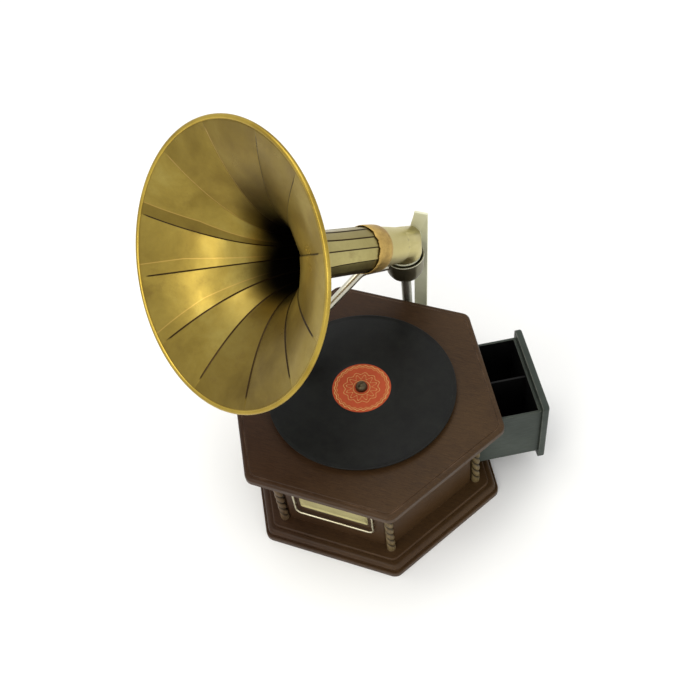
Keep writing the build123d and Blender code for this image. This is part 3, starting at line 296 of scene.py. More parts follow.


def wood(name, dark, light, worn, grain, roughness=(0.32, 0.5), groove_shade=False):
    """Stained and polished wood: pores, long grain, rubbed edges, painted light that makes it
    lighter towards its right side, and, if asked, painted shade in the grooves.
    """
    paint = Paint(name, specular=0.16)
    along = paint.mapped(grain)
    fibre = paint.noise(60, detail=8, rough=0.65, distortion=0.6, vector=along)
    cloud = paint.noise(7, detail=3)
    figure = paint.plus(paint.times(fibre, 0.6), paint.times(cloud, 0.4))
    base = paint.ramp(figure, [(0.36, dark), (0.64, light)])
    # Painted light: lighter and greener towards +x, the case's right side.
    lit_right_side = paint.rise(paint.plus(paint.times(paint.split()[0], 2.4), 0.5), 0.1, 0.9)
    base = paint.mix(lit_right_side, base, paint.mix(1.0, base, RIGHT_SIDE_LIGHT, "MULTIPLY"))
    pores = paint.rise(paint.noise(420, detail=2, vector=along), 0.30, 0.42)
    base = paint.mix(pores, shaded(dark, 0.55), base)
    rub = paint.times(paint.edges(), paint.rise(paint.noise(45, detail=5), 0.42, 0.62))
    base = paint.mix(rub, base, worn)
    if groove_shade:
        # Painted shade: the grooves between the rope's strands are painted near black.
        base = paint.mix(paint.attribute("groove"), base, shaded(dark, 0.2))
    paint.colour(base)
    glossy, dull = roughness
    paint.roughness(paint.ramp(paint.noise(28, detail=6), [(0.3, glossy), (0.75, dull)]))
    paint.bump(fibre, 0.12 * MM, 0.5)
    paint.bump(pores, 0.06 * MM, 0.4)
    paint.bump(paint.noise(22, detail=2), 0.8 * MM, 0.12)
    return paint.material


def metal(name, bright, dull, stain, roughness, scale, pits=0.25, metallic=1.0):
    """Aged metal: bright where handled, dull and stained in patches, finely scratched."""
    paint = Paint(name, metallic=metallic)
    cloud = paint.noise(scale * 0.5, detail=6, rough=0.6)
    fine = paint.noise(scale * 9, detail=3)
    base = paint.ramp(cloud, [(0.34, dull), (0.62, bright)])
    spots = paint.rise(paint.noise(scale * 2.3, detail=8, rough=0.7), 0.60, 0.74)
    base = paint.mix(paint.times(spots, pits), base, stain)
    base = paint.mix(paint.times(fine, 0.22), base, dull)
    base = paint.mix(paint.times(paint.edges(1.6 * MM), 0.5), base, shaded(bright, 1.25))
    paint.colour(base)
    polish = paint.plus(paint.times(fine, 0.5), paint.times(cloud, 0.5))
    paint.roughness(paint.ramp(polish, [(0.3, roughness[0]), (0.7, roughness[1])]))
    paint.bump(fine, 0.02 * MM, 0.5)
    paint.bump(spots, 0.04 * MM, 0.5)
    return paint.material


def cast(name, colour, roughness=0.55):
    """Painted casting with a sandy skin."""
    paint = Paint(name, roughness=roughness, metallic=0.4)
    grit = paint.noise(900, detail=3)
    tone = paint.noise(30, detail=5)
    base = paint.ramp(tone, [(0.35, colour), (0.7, shaded(colour, 1.5))])
    base = paint.mix(paint.times(paint.edges(1.5 * MM), 0.6), base, shaded(colour, 2.6))
    paint.colour(base)
    paint.bump(grit, 0.08 * MM, 0.6)
    return paint.material


def horn_brass():
    """Sheet brass of the bell: a tone for each panel, painted shade in the throat and along the
    underside, dark lines at the seams.
    """
    paint = Paint("horn_brass", metallic=0.95)
    cloud = paint.noise(11, detail=5, rough=0.6, distortion=0.4)
    fine = paint.noise(260, detail=4)
    inside = paint.ramp(cloud, [
        (0.30, (0.17, 0.115, 0.018)), (0.52, (0.27, 0.195, 0.036)), (0.75, (0.36, 0.285, 0.07)),
    ])
    outside = paint.ramp(cloud, [(0.30, (0.29, 0.245, 0.085)), (0.70, (0.42, 0.37, 0.15))])
    base = paint.mix(paint.attribute("inside"), outside, inside)
    tone = paint.attribute("tone")
    tone = paint.ramp(tone, [(0.0, (0.72, 0.68, 0.62)), (1.0, (1.25, 1.25, 1.3))])
    base = paint.mix(1.0, base, tone, "MULTIPLY")
    base = paint.mix(paint.times(fine, 0.3), base, (0.16, 0.12, 0.04))
    stain = paint.rise(paint.noise(34, detail=8, rough=0.7), 0.56, 0.72)
    base = paint.mix(paint.times(stain, 0.35), base, (0.12, 0.065, 0.02))
    base = paint.mix(paint.attribute("solder"), base, (0.50, 0.32, 0.08))
    # Painted shade: near black deep in the throat, further out above and below, and along the
    # underside outside.
    base = paint.mix(paint.attribute("painted_shade"), base, (0.009, 0.006, 0.003))
    base = paint.mix(paint.attribute("seam"), base, (0.03, 0.017, 0.006))
    paint.colour(base)
    smear = paint.noise(24, detail=6, rough=0.65)
    paint.roughness(paint.ramp(smear, [(0.3, 0.26), (0.7, 0.42)]))
    paint.bump(paint.noise(60, detail=3), 0.35 * MM, 0.25)
    paint.bump(fine, 0.02 * MM, 0.5)
    return paint.material


def record_shellac():
    """Black disc with fine grooves, duller and glossier rings, dust and light scuffs."""
    paint = Paint("record_shellac", specular=0.14)
    x, y, _ = paint.split()
    radius = paint.distance(x, y)
    groove = paint.calc("SINE", paint.times(radius, 2 * math.pi / (0.9 * MM)))
    bands = paint.noise(1.0, detail=3, vector=paint.combined(paint.times(radius, 160.0)))
    scuff = paint.noise(30, detail=7, rough=0.7)
    base = paint.ramp(scuff, [(0.35, (0.006, 0.006, 0.006)), (0.75, (0.012, 0.013, 0.011))])
    dust = paint.rise(paint.noise(700, detail=2), 0.74, 0.80)
    base = paint.mix(paint.times(dust, 0.12), base, (0.2, 0.2, 0.17))
    paint.colour(base)
    wear = paint.plus(paint.times(bands, 0.5), paint.times(scuff, 0.5))
    paint.roughness(paint.ramp(wear, [(0.35, 0.34), (0.65, 0.50)]))
    paint.bump(groove, 0.05 * MM, 0.5)
    return paint.material


GILT = (0.62, 0.42, 0.14)
GILT_RINGS = (                              # radius, height of its waves, their number, half width
    (36.2 * MM, 0.8 * MM, 26, 0.45 * MM),
    (33.6 * MM, 0.8 * MM, 26, 0.25 * MM),
    (17.5 * MM, 3.6 * MM, 12, 0.40 * MM),
    (23.5 * MM, 1.6 * MM, 12, 0.30 * MM),
    (11.5 * MM, 0.0, 1, 0.30 * MM),
)


def label_paper():
    """Red paper label with gilt rings, some wavy like petals, and no lettering."""
    paint = Paint("label_paper", roughness=0.6, specular=0.12)
    x, y, _ = paint.split()
    radius = paint.distance(x, y)
    angle = paint.calc("ARCTAN2", y, x)
    fibres = paint.noise(500, detail=3)
    cloud = paint.noise(45, detail=4)
    base = paint.ramp(cloud, [(0.3, (0.40, 0.055, 0.020)), (0.7, (0.50, 0.080, 0.028))])
    base = paint.mix(paint.times(fibres, 0.25), base, (0.56, 0.15, 0.06))
    for centre, wave, lobes, half_width in GILT_RINGS:
        sway = paint.times(paint.calc("SINE", paint.times(angle, float(lobes))), wave)
        gap = paint.calc("ABSOLUTE", paint.minus(paint.minus(radius, centre), sway))
        base = paint.mix(paint.calc("LESS_THAN", gap, half_width), base, GILT)
    paint.colour(base)
    paint.bump(fibres, 0.03 * MM, 0.4)
    return paint.material


def felt():
    """Short green felt."""
    paint = Paint("turntable_felt", roughness=0.95, specular=0.1)
    nap = paint.noise(1400, detail=4, rough=0.8)
    paint.colour(paint.ramp(nap, [(0.3, (0.012, 0.03, 0.018)), (0.7, (0.04, 0.085, 0.05))]))
    paint.shader.inputs["Sheen Weight"].default_value = 0.5
    paint.bump(nap, 0.4 * MM, 0.8)
    return paint.material


DRAWER_WALL = 3.5 * MM


def drawer_shade_area(paint):
    """Where painted shade goes: 1 within the drawer's four walls and below its rim, 0 outside."""
    box = frame["nodes"]["drawer_box"]
    slide = Vector(JOINTS["drawer_slide"]["axis"]).normalized()
    spots = [box.matrix_world @ vertex.co for vertex in box.data.vertices]
    x, y, z = paint.split()
    mask = 1.0
    for direction in (slide, UP.cross(slide)):
        reach = [spot.dot(direction) for spot in spots]
        middle = (max(reach) + min(reach)) / 2
        half = (max(reach) - min(reach)) / 2 - 0.8 * DRAWER_WALL
        place = paint.plus(paint.times(x, direction.x), paint.times(y, direction.y))
        gap = paint.calc("ABSOLUTE", paint.minus(place, middle))
        mask = paint.times(paint.calc("LESS_THAN", gap, half), mask)
    below_rim = max(spot.z for spot in spots) - 0.8 * MM
    return paint.times(paint.calc("LESS_THAN", z, below_rim), mask)


def drawer_paint():
    """Dull green-black stain, rubbed pale along the edges, with painted shade, near black, inside
    the compartments.
    """
    paint = Paint("drawer_stain", specular=0.15)
    brush = paint.noise(70, detail=6, vector=paint.mapped((1, 1, 6)))
    cloud = paint.noise(12, detail=3)
    base = paint.ramp(cloud, [(0.3, (0.030, 0.038, 0.032)), (0.7, (0.062, 0.074, 0.062))])
    base = paint.mix(paint.times(brush, 0.3), base, (0.018, 0.022, 0.018))
    patchy = paint.ramp(paint.noise(60, detail=5), [(0.35, 0.2), (0.6, 1.0)])
    base = paint.mix(paint.times(paint.edges(1.8 * MM), patchy), base, (0.20, 0.20, 0.16))
    # Painted shade: the compartments below the rim are painted near black.
    base = paint.mix(drawer_shade_area(paint), base, (0.004, 0.004, 0.004))
    paint.colour(base)
    paint.roughness(paint.ramp(brush, [(0.3, 0.36), (0.7, 0.58)]))
    paint.bump(brush, 0.15 * MM, 0.4)
    return paint.material


def mica():
    """Thin mica diaphragm: pale, with flakes and a silky gloss."""
    paint = Paint("mica", roughness=0.25, specular=0.7)
    flakes = paint.cells(260)
    paint.colour(paint.ramp(flakes, [(0.1, (0.50, 0.46, 0.36)), (0.8, (0.66, 0.63, 0.54))]))
    paint.bump(flakes, 0.05 * MM, 0.4)
    return paint.material


# ================================================================ mesh kit


def turns(count):
    """Equal steps round a full circle."""
    return [2 * math.pi * i / count for i in range(count)]


def joined(rows):
    """The points of all rows in one list, in the order that woven() counts them."""
    return [point for row in rows for point in row]


def mesh_object(name, points, faces):
    """Smooth-shaded object from points and faces, in the frame's own coordinates."""
    data = bpy.data.meshes.new(name)
    data.from_pydata([tuple(p) for p in points], [], faces)
    data.polygons.foreach_set("use_smooth", [True] * len(data.polygons))
    data.validate()
    made = bpy.data.objects.new(name, data)
    bpy.context.scene.collection.objects.link(made)
    return made


def woven(rows, wrap_rows=False, start=0):
    """Quads between closed rows of equally many points."""
    count = len(rows[0])
    faces = []
    for r in range(len(rows) if wrap_rows else len(rows) - 1):
        here = start + r * count
        over = start + (r + 1) % len(rows) * count
        for c in range(count):
            after = (c + 1) % count
            faces.append((here + c, here + after, over + after, over + c))
    return faces


def finish_piece(piece, body, slot, material, *replaced):
    """Gives a new piece its material and its body, and hides the CAD nodes that it stands for."""
    piece.data.materials.append(material)
    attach(piece, body)
    if replaced:
        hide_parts(*replaced)
    return piece


def lathe(name, profile, origin, axis, segments, closed=True):
    """Turned shape: (radius, height) points swept round an axis. Points at radius 0 close it."""
    axis = Vector(axis).normalized()
    side = axis.orthogonal().normalized()
    other = axis.cross(side)
    spokes = [side * math.cos(turn) + other * math.sin(turn) for turn in turns(segments)]
    rows = [
        [Vector(origin) + axis * height + spoke * radius for spoke in spokes]
        for radius, height in profile
    ]
    made = mesh_object(name, joined(rows), woven(rows, wrap_rows=closed))
    tidy_mesh(made)
    return made


def tidy_mesh(piece):
    """Merges points that coincide and points all faces outwards."""
    work = bmesh.new()
    work.from_mesh(piece.data)
    bmesh.ops.remove_doubles(work, verts=work.verts, dist=0.005 * MM)
    bmesh.ops.recalc_face_normals(work, faces=work.faces)
    work.to_mesh(piece.data)
    work.free()


def sharpen(piece, angle):
    """Keeps corners over an angle crisp on a smooth-shaded mesh."""
    piece.data.set_sharp_from_angle(angle=math.radians(angle))


def set_values(piece, name, values):
    """Stores one number per vertex for a material to read."""
    attribute = piece.data.attributes.new(name, "FLOAT", "POINT")
    attribute.data.foreach_set("value", values)


# ================================================================ horn


def flare(s):
    """Outer radius of the bell's sheet, and its slope, at a distance from the elbow."""
    rim = BELL_R - BEAD_R
    if s <= FLARE_START:
        return NECK_R, 0.0
    share = (s - FLARE_START) / (HORN_LENGTH - FLARE_START)
    slope = FLARE_POWER * (rim - NECK_R) / (HORN_LENGTH - FLARE_START) * share ** (FLARE_POWER - 1)
    return NECK_R + (rim - NECK_R) * share**FLARE_POWER, slope


def horn_point(s, radius, turn):
    """Point in the horn's own coordinates: along its axis, out from it and round it."""
    out = HORN_SIDE * math.cos(turn) + HORN_TOP * math.sin(turn)
    return ELBOW + HORN_DIRECTION * s + out * radius


def sheet_point(s, turn, off):
    """Point of the bell's sheet, or one that far off it, square to its slope."""
    radius, slope = flare(s)
    length = math.hypot(1, slope)
    return horn_point(s - off * slope / length, radius + off / length, turn)


def seam_turn(k, s):
    """Where a soldered seam runs: nearly straight down the bell, each a little off its place."""
    sway = 2.0 * math.sin(2.4 * k) + 1.6 * math.sin(1.7 * k + 14 * s)
    return math.radians(360 / PANELS * k - 6 + sway)


PLAIN_COLUMNS = 8                           # columns of points over the plain part of a panel
SEAM_W = 1.3 * MM                           # dark line past a seam
SEAM_BEFORE = 1.2 * MM                      # where the same line begins ahead of the seam
LAP_AT = 16 * MM                            # past a seam: the far edge of a wide lap
LAP_W = 1.0 * MM
LAP_START = 150 * MM                        # along the horn, where the wide laps begin to show
LAP_FADE = 30 * MM
WIDE_LAPS = {10: 0.8, 11: 1.0, 0: 0.1}      # seam number: tone of its strip
PALE_SEAMS = (1, 2)                         # filled with bright solder instead of dirt
STEP_UP = 0.9 * MM                          # a panel's far edge stands this much over its near one
BELLY = 1.6 * MM                            # how far a panel sags between its seams
SUNK = 0.9 * MM                             # keeps laps and dents inside the horn's outer size
DENT = 0.5 * MM


def eased(value):
    """Smooth step from 0 to 1."""
    value = min(1.0, max(0.0, value))
    return value * value * (3 - 2 * value)


def panel_tone(k):
    """How bright one panel of the bell looks, from 0 to 1."""
    return 0.5 + 0.5 * math.sin(5.1 * k + 1.2)


def panel_marks(k, s, width):
    """(distance past the seam, dark line, solder line) of each column over one panel."""
    stop = (2.0 + 3.5 * abs(math.sin(2.9 * k))) * MM
    line = eased((HORN_LENGTH - stop - s) / (1.2 * MM))
    pale = 0.8 * line if k in PALE_SEAMS else 0.0
    dark = line - pale
    next_dark = 0.0 if (k + 1) % PANELS in PALE_SEAMS else line
    lapped = 0.8 * eased((s - LAP_START) / LAP_FADE) if k in WIDE_LAPS else 0.0
    line_w = SEAM_W * (0.55 + 0.45 * min(1.0, width / (40 * MM)))
    lap = min(LAP_AT, 0.3 * width)
    first = lap + LAP_W
    last = width - SEAM_BEFORE
    marks = [(0.0, dark, pale), (line_w * 0.7, dark, pale), (line_w, 0, 0)]
    marks += [(lap - LAP_W, 0, 0), (lap, 0, lapped), (first, 0, 0)]
    for i in range(1, PLAIN_COLUMNS):
        marks.append((first + (last - first) * i / PLAIN_COLUMNS, 0, 0))
    marks += [(last, 0, 0), (width - SEAM_BEFORE / 2, next_dark, 0)]
    return marks, lap


def bell_columns(s, radius):
    """(turn, height over the sheet, dark line, solder line, tone) round one ring of the bell."""
    fade = min(1.0, max(0.0, (HORN_LENGTH - s) / (11 * MM)))
    columns = []
    for k in range(PANELS):
        start = seam_turn(k, s)
        end = seam_turn(0, s) + 2 * math.pi if k == PANELS - 1 else seam_turn(k + 1, s)
        width = (end - start) * radius
        marks, lap = panel_marks(k, s, width)
        for offset, black, solder in marks:
            share = offset / width
            sag = BELLY * math.sin(math.pi * share) * min(1.0, radius / (90 * MM))
            height = (STEP_UP * (share - 0.5) - sag) * fade
            tone = WIDE_LAPS[k] if k in WIDE_LAPS and offset <= lap else panel_tone(k)
            columns.append((start + (end - start) * share, height, black, solder, tone))
    return columns


def painted_throat_shade(s, turn):
    """Painted shade inside the bell: all black in the throat, and further out above and below."""
    depth = (s - FLARE_START) / (HORN_LENGTH - FLARE_START)
    up = math.sin(turn)
    depth -= 0.27 * max(0.0, up) + 0.10 * max(0.0, -up)
    return 1 - 0.45 * eased((depth - 0.42) / 0.12) - 0.55 * eased((depth - 0.50) / 0.16)


def painted_underside_shade(turn):
    """Painted shade on the horn's outside: along its underside."""
    return 0.85 * eased((-math.sin(turn) - 0.35) / 0.4)


def make_bell():
    """Bell and neck of lapped brass panels, one sheet thick, inside and out."""
    neck_rows = 14
    flare_rows = 70
    stations = [NECK_START + (FLARE_START - NECK_START) * i / neck_rows for i in range(neck_rows)]
    for i in range(flare_rows + 1):
        share = (i / flare_rows) ** 0.55
        stations.append(FLARE_START + (HORN_LENGTH - FLARE_START) * share)
    rows_out, rows_in = [], []
    for s in stations:
        ring_out, ring_in = [], []
        for turn, height, dark, solder, tone in bell_columns(s, flare(s)[0]):
            rise = height + DENT * noise.noise(sheet_point(s, turn, 0.0) * 14) - SUNK
            outer, inner = sheet_point(s, turn, rise), sheet_point(s, turn, rise - SHEET)
            # The last value of each spot is painted shade.
            ring_out.append((outer, dark, 0.0, tone, 0.0, painted_underside_shade(turn)))
            ring_in.append((inner, dark, solder, tone, 1.0, painted_throat_shade(s, turn)))
        rows_out.append(ring_out)
        rows_in.append(ring_in)
    rows = rows_out + rows_in[::-1]
    spots = joined(rows)
    bell = mesh_object("bell_panels", [spot[0] for spot in spots], woven(rows, wrap_rows=True))
    # painted_shade holds the painted shade of the throat and the underside.
    for column, name in enumerate(("seam", "solder", "tone", "inside", "painted_shade"), 1):
        set_values(bell, name, [float(spot[column]) for spot in spots])
    finish_piece(bell, "horn", "horn_brass", BRASS, "horn_bell", "horn_neck")
    bead_profile = [
        (BELL_R - BEAD_R + BEAD_R * math.cos(turn), HORN_LENGTH + BEAD_R * math.sin(turn))
        for turn in turns(12)
    ]
    bead = lathe("bell_rolled_rim", bead_profile, ELBOW, HORN_DIRECTION, segments=192)
    finish_piece(bead, "horn", "horn_brass", RIM_BRASS)


COLLAR_OUTLINE = (                          # radius and distance along the horn, in mm
    (29.3, 56.2), (30.3, 55.8), (31.5, 59), (32.0, 64), (32.4, 76),
    (32.3, 84.6), (31.6, 84.8), (31.15, 84.6), (30.2, 62),
)
TORN = range(5, 8)                          # the points of the outline at the band's torn edge


def make_collar():
    """Torn and soldered band where the bell is joined to the tube."""

    def wave(turn, waves, height):
        """Uneven value round the band, quicker for more waves."""
        return noise.noise(Vector((waves * math.cos(turn), waves * math.sin(turn), height)))

    rows = []
    for row, (radius, s) in enumerate(COLLAR_OUTLINE):
        ring = []
        for turn in turns(144):
            along, out = s, radius
            if row in TORN:
                along += 2.2 * wave(turn, 5, 0.3) + 1.4 * wave(turn, 19, 2.0) - 1.5
            if row < TORN.stop - 1:
                out += 0.35 * wave(turn, 9, s * 0.3) - 0.3
            ring.append(horn_point(along * MM, out * MM, turn))
        rows.append(ring)
    collar = mesh_object("soldered_collar", joined(rows), woven(rows, wrap_rows=True))
    tidy_mesh(collar)
    finish_piece(collar, "horn", "horn_brass", SOLDER)


# ================================================================ case trim


ROPE_R = 6 * MM
ROPE_STRANDS = 2
ROPE_TWIST = -2 * math.pi / (33 * MM)       # one turn of the strands in this much height
ROPE_STEPS = 84
ROPE_BLOCK = 5                              # steps at each end that stay plain


def make_columns():
    """Rope-twist columns at the six corners of the case."""
    low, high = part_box("corner_columns")
    reach = high.x - ROPE_R
    around = turns(36)
    points, faces, grooves = [], [], []
    for corner in turns(6):
        centre = Vector((reach * math.cos(corner), reach * math.sin(corner), 0))
        rows = []
        for step in range(ROPE_STEPS + 1):
            z = low.z + (high.z - low.z) * step / ROPE_STEPS
            twist = ROPE_TWIST * (z - low.z)
            block = step < ROPE_BLOCK or step > ROPE_STEPS - ROPE_BLOCK
            row = []
            for turn in around:
                strand = abs(math.cos(ROPE_STRANDS / 2 * (turn - twist))) ** 0.7
                r = ROPE_R if block else ROPE_R * (0.62 + 0.38 * strand)
                grooves.append(0.0 if block else eased((0.75 - strand) / 0.5))
                row.append(centre + Vector((r * math.cos(turn), r * math.sin(turn), z)))
            rows.append(row)
        start = len(points)
        points += joined(rows)
        faces += woven(rows, start=start)
        faces.append(tuple(range(start + len(around) - 1, start - 1, -1)))
        faces.append(tuple(range(len(points) - len(around), len(points))))
    columns = mesh_object("rope_columns", points, faces)
    set_values(columns, "groove", grooves)
    sharpen(columns, 60)
    finish_piece(columns, "case", "case_wood", TRIM_WOOD, "corner_columns")


def rounded_loop(width, height, corner):
    """Points of a rounded rectangle, (across, up), with its centre at 0."""
    steps = 8
    points = []
    for cx, cy, first in ((1, 1, 0), (-1, 1, 90), (-1, -1, 180), (1, -1, 270)):
        for i in range(steps + 1):
            a = math.radians(first + 90 * i / steps)
            across = cx * (width / 2 - corner) + corner * math.cos(a)
            up = cy * (height / 2 - corner) + corner * math.sin(a)
            points.append((across, up))
    return points


WIRE_R = 1.5 * MM
WIRE_CORNER = 8.5 * MM
PIN_R = 1.2 * MM


def make_wire_frame():
    """Bent round wire that frames the name plate, with its four pins."""
    low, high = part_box("name_plate_frame")
    y = low.y + WIRE_R
    width, height = high.x - low.x - 2 * WIRE_R, high.z - low.z - 2 * WIRE_R
    middle = Vector(((low.x + high.x) / 2, y, (low.z + high.z) / 2))
    inwards = Vector((0, 1, 0))
    around = turns(12)
    path = rounded_loop(width, height, WIRE_CORNER)
    rows = []
    for i, (u, v) in enumerate(path):
        before, after = path[i - 1], path[(i + 1) % len(path)]
        along = Vector((after[0] - before[0], 0, after[1] - before[1])).normalized()
        out = inwards.cross(along)
        spot = middle + Vector((u, 0, v))
        rows.append([spot + (out * math.cos(a) + inwards * math.sin(a)) * WIRE_R for a in around])
    points = joined(rows)
    faces = woven(rows, wrap_rows=True)
    for side in (-1, 1):
        for up in (-1, 1):
            foot = middle + Vector((side * width / 2, 0, up * height / 4))
            pin = [
                [foot + Vector((PIN_R * math.cos(a), depth, PIN_R * math.sin(a))) for a in around]
                for depth in (0, high.y - y)
            ]
            faces += woven(pin, start=len(points))
            points += joined(pin)
    loop = mesh_object("plate_wire_frame", points, faces)
    tidy_mesh(loop)
    finish_piece(loop, "case", "wire_steel", WIRE, "name_plate_frame")


# Distance in from the plate's edge, and share of its thickness.
PLATE_LEVELS = ((0, 0.0), (0, 1.0), (1.2 * MM, 1.0), (2.2 * MM, 0.45), (5 * MM, 0.4))
PLATE_CORNER = 3 * MM


def make_plate():
    """Blank name plate with a raised border."""
    low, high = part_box("name_plate")
    centre = (low + high) / 2
    width, height, depth = high.x - low.x, high.z - low.z, high.y - low.y
    rows = []
    for inset, rise in PLATE_LEVELS:
        corner = max(0.6 * MM, PLATE_CORNER - inset)
        loop = rounded_loop(width - 2 * inset, height - 2 * inset, corner)
        y = high.y - rise * depth
        rows.append([Vector((centre.x + u, y, centre.z + v)) for u, v in loop])
    points = joined(rows)
    count = len(rows[0])
    faces = woven(rows)
    faces.append(tuple(range(len(points) - count, len(points))))
    faces.append(tuple(range(count - 1, -1, -1)))
    plate = mesh_object("blank_plate", points, faces)
    tidy_mesh(plate)
    sharpen(plate, 40)
    finish_piece(plate, "case", "plate_metal", PLATE, "name_plate")


# ================================================================ turntable


SPINDLE_HOLE = 3.66 * MM
LABEL_SEAT = 39.9 * MM                      # radius of the raised middle that carries the label


def make_record():
    """Pressed disc with a raised bead at its edge, a run-in, grooves and a raised middle."""
    low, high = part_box("record")
    edge, top, bottom = high.x, high.z, low.z
    groove, playing = top - 0.5 * MM, top - 0.35 * MM
    profile = [
        (SPINDLE_HOLE, bottom),
        (edge - 0.9 * MM, bottom), (edge - 0.2 * MM, bottom + 0.5 * MM),
        (edge, (top + bottom) / 2),
        (edge - 0.2 * MM, top - 0.5 * MM), (edge - 0.9 * MM, top),
        (edge - 2.2 * MM, top - 0.05 * MM), (edge - 3.4 * MM, groove),
        (edge - 7 * MM, groove), (edge - 7.5 * MM, playing),
        (LABEL_SEAT + 9 * MM, playing), (LABEL_SEAT + 8 * MM, groove),
        (LABEL_SEAT + 2.2 * MM, groove), (LABEL_SEAT + 0.8 * MM, top),
        (SPINDLE_HOLE, top),
    ]
    disc = lathe("grooved_record", profile, (0, 0, 0), UP, segments=240)
    sharpen(disc, 50)
    finish_piece(disc, "turntable", "shellac", SHELLAC, "record")


def make_clamp():
    """Domed centre nut with a knurled skirt and a sunk middle."""
    low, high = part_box("record_clamp")
    r, h = high.x, high.z - low.z
    tip = 0.001 * MM
    profile = [
        (SPINDLE_HOLE, 0), (r, 0), (r, 0.32 * h), (0.93 * r, 0.42 * h), (0.84 * r, 0.62 * h),
        (0.66 * r, 0.84 * h), (0.40 * r, 0.96 * h), (0.16 * r, h),
        (tip, h), (tip, 0.85 * h), (SPINDLE_HOLE, 0.80 * h),
    ]
    nut = lathe("record_nut", profile, (0, 0, low.z), UP, segments=96)
    for vertex in nut.data.vertices:
        flat = Vector((vertex.co.x, vertex.co.y, 0))
        if flat.length > 0.9 * r and vertex.co.z < low.z + 0.4 * h:
            ridge = 0.975 + 0.025 * math.cos(24 * math.atan2(vertex.co.y, vertex.co.x))
            vertex.co.x *= ridge
            vertex.co.y *= ridge
    finish_piece(nut, "turntable", "clamp_bronze", NUT, "record_clamp")


# ================================================================ cup and turned knobs

# Outlines of turned pieces: radius and height, in mm.
CUP_OUTSIDE = (
    (5.05, 0), (12, 0), (17.5, 1.4), (22.4, 4.8), (25.2, 9.5), (26.3, 15), (26.9, 26),
    (27.3, 35), (27.5, 37),
)
CUP_INSIDE = (
    (27.2, 38), (26.3, 38), (25.9, 37), (25.3, 27), (24.8, 15.5), (21.2, 6.4),
    (12, 3), (9, 3), (9, 16), (5.05, 16),
)
CUP_FACETS = 10
GRIP_OUTLINE = (
    (3.06, 0), (6.4, 0), (7.0, 1.5), (6.0, 3.2), (5.6, 4.5), (7.2, 6), (8.3, 14), (8.95, 26),
    (8.8, 36), (8.0, 46), (6.6, 53), (5.6, 55.4), (4.2, 56), (3.06, 56),
)
GRIP_START = 189 * MM                       # from the case's centre, along the grip's axis
KNOB_OUTLINE = (
    (0.01, 0), (8, 0), (8, 0.8), (6.4, 1.3), (6, 2.2), (8.4, 2.9), (10.6, 3.6), (11, 4.3),
    (10.6, 5.1), (9, 5.7), (5, 6.0), (0.01, 6.0),
)
KNOB_HEIGHT = 6 * MM


def in_metres(outline):
    """An outline given in mm, in the script's own units."""
    return [(radius * MM, height * MM) for radius, height in outline]


def make_cup():
    """Swivel cup, hammered into soft facets below a turned rim painted pale all round as a
    highlight.
    """
    low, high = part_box("swivel_cup")
    foot = (POST.x, POST.y, low.z)
    cup = lathe("swivel_bowl", in_metres(CUP_OUTSIDE + CUP_INSIDE), foot, UP, segments=120)
    for vertex in cup.data.vertices:
        flat = Vector((vertex.co.x - POST.x, vertex.co.y - POST.y, 0))
        share = (vertex.co.z - low.z) / (high.z - low.z)
        if flat.length > 14 * MM and share < 0.9:
            facet = (math.atan2(flat.y, flat.x) * CUP_FACETS / (2 * math.pi)) % 1.0 - 0.5
            bulge = math.sin(math.pi * min(1.0, share / 0.9))
            pull = 0.022 * (1 - (2 * facet) ** 2) * bulge
            vertex.co.x -= flat.x * pull
            vertex.co.y -= flat.y * pull
    sharpen(cup, 50)
    finish_piece(cup, "tonearm", "cup_bronze", CUP, "swivel_cup")
    # The rim bead gets a pale copy of the cup's metal: a painted highlight.
    bead = [(26.7 + 0.8 * math.cos(turn), 37.1 + 0.85 * math.sin(turn)) for turn in turns(12)]
    rim = lathe("cup_rim_painted_highlight", in_metres(bead), foot, UP, segments=120)
    finish_piece(rim, "tonearm", "cup_bronze", CUP_RIM_HIGHLIGHT)


def make_grip():
    """Turned wooden crank handle with a beaded neck."""
    joint = JOINTS["crank_handle_spin"]
    axis = Vector(joint["axis"]).normalized()
    origin = Vector(joint["pos_m"])
    foot = origin + axis * (GRIP_START - origin.dot(axis))
    grip = lathe("crank_handle_grip", in_metres(GRIP_OUTLINE), foot, axis, segments=72)
    finish_piece(grip, "crank_handle", "knob_wood", TURNED, "crank_grip")


def make_knob():
    """Turned drawer knob."""
    low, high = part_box("drawer_knob")
    axis = Vector(JOINTS["drawer_slide"]["axis"]).normalized()
    foot = (low + high) / 2 - axis * KNOB_HEIGHT / 2
    knob = lathe("turned_knob", in_metres(KNOB_OUTLINE), foot, axis, segments=72, closed=False)
    finish_piece(knob, "drawer", "knob_wood", TURNED, "drawer_knob")


# ================================================================ materials in use

BRASS = horn_brass()
RIM_BRASS = metal("rim_brass", (0.46, 0.33, 0.06), (0.30, 0.20, 0.03), (0.12, 0.06, 0.015),
                  (0.28, 0.44), 30)
SOLDER = metal("soldered_brass", (0.55, 0.38, 0.12), (0.28, 0.17, 0.05), (0.05, 0.03, 0.015),
               (0.38, 0.6), 90, pits=0.8)
TUBE = metal("tube_brass", (0.56, 0.50, 0.24), (0.42, 0.36, 0.15), (0.24, 0.17, 0.07),
             (0.30, 0.46), 16)
NICKEL = metal("worn_nickel", (0.66, 0.63, 0.52), (0.50, 0.48, 0.38), (0.20, 0.16, 0.10),
               (0.20, 0.38), 25, pits=0.12)
STRAP = metal("strap_nickel", (0.84, 0.84, 0.64), (0.70, 0.70, 0.50), (0.34, 0.30, 0.18),
              (0.38, 0.55), 30, pits=0.12, metallic=0.3)
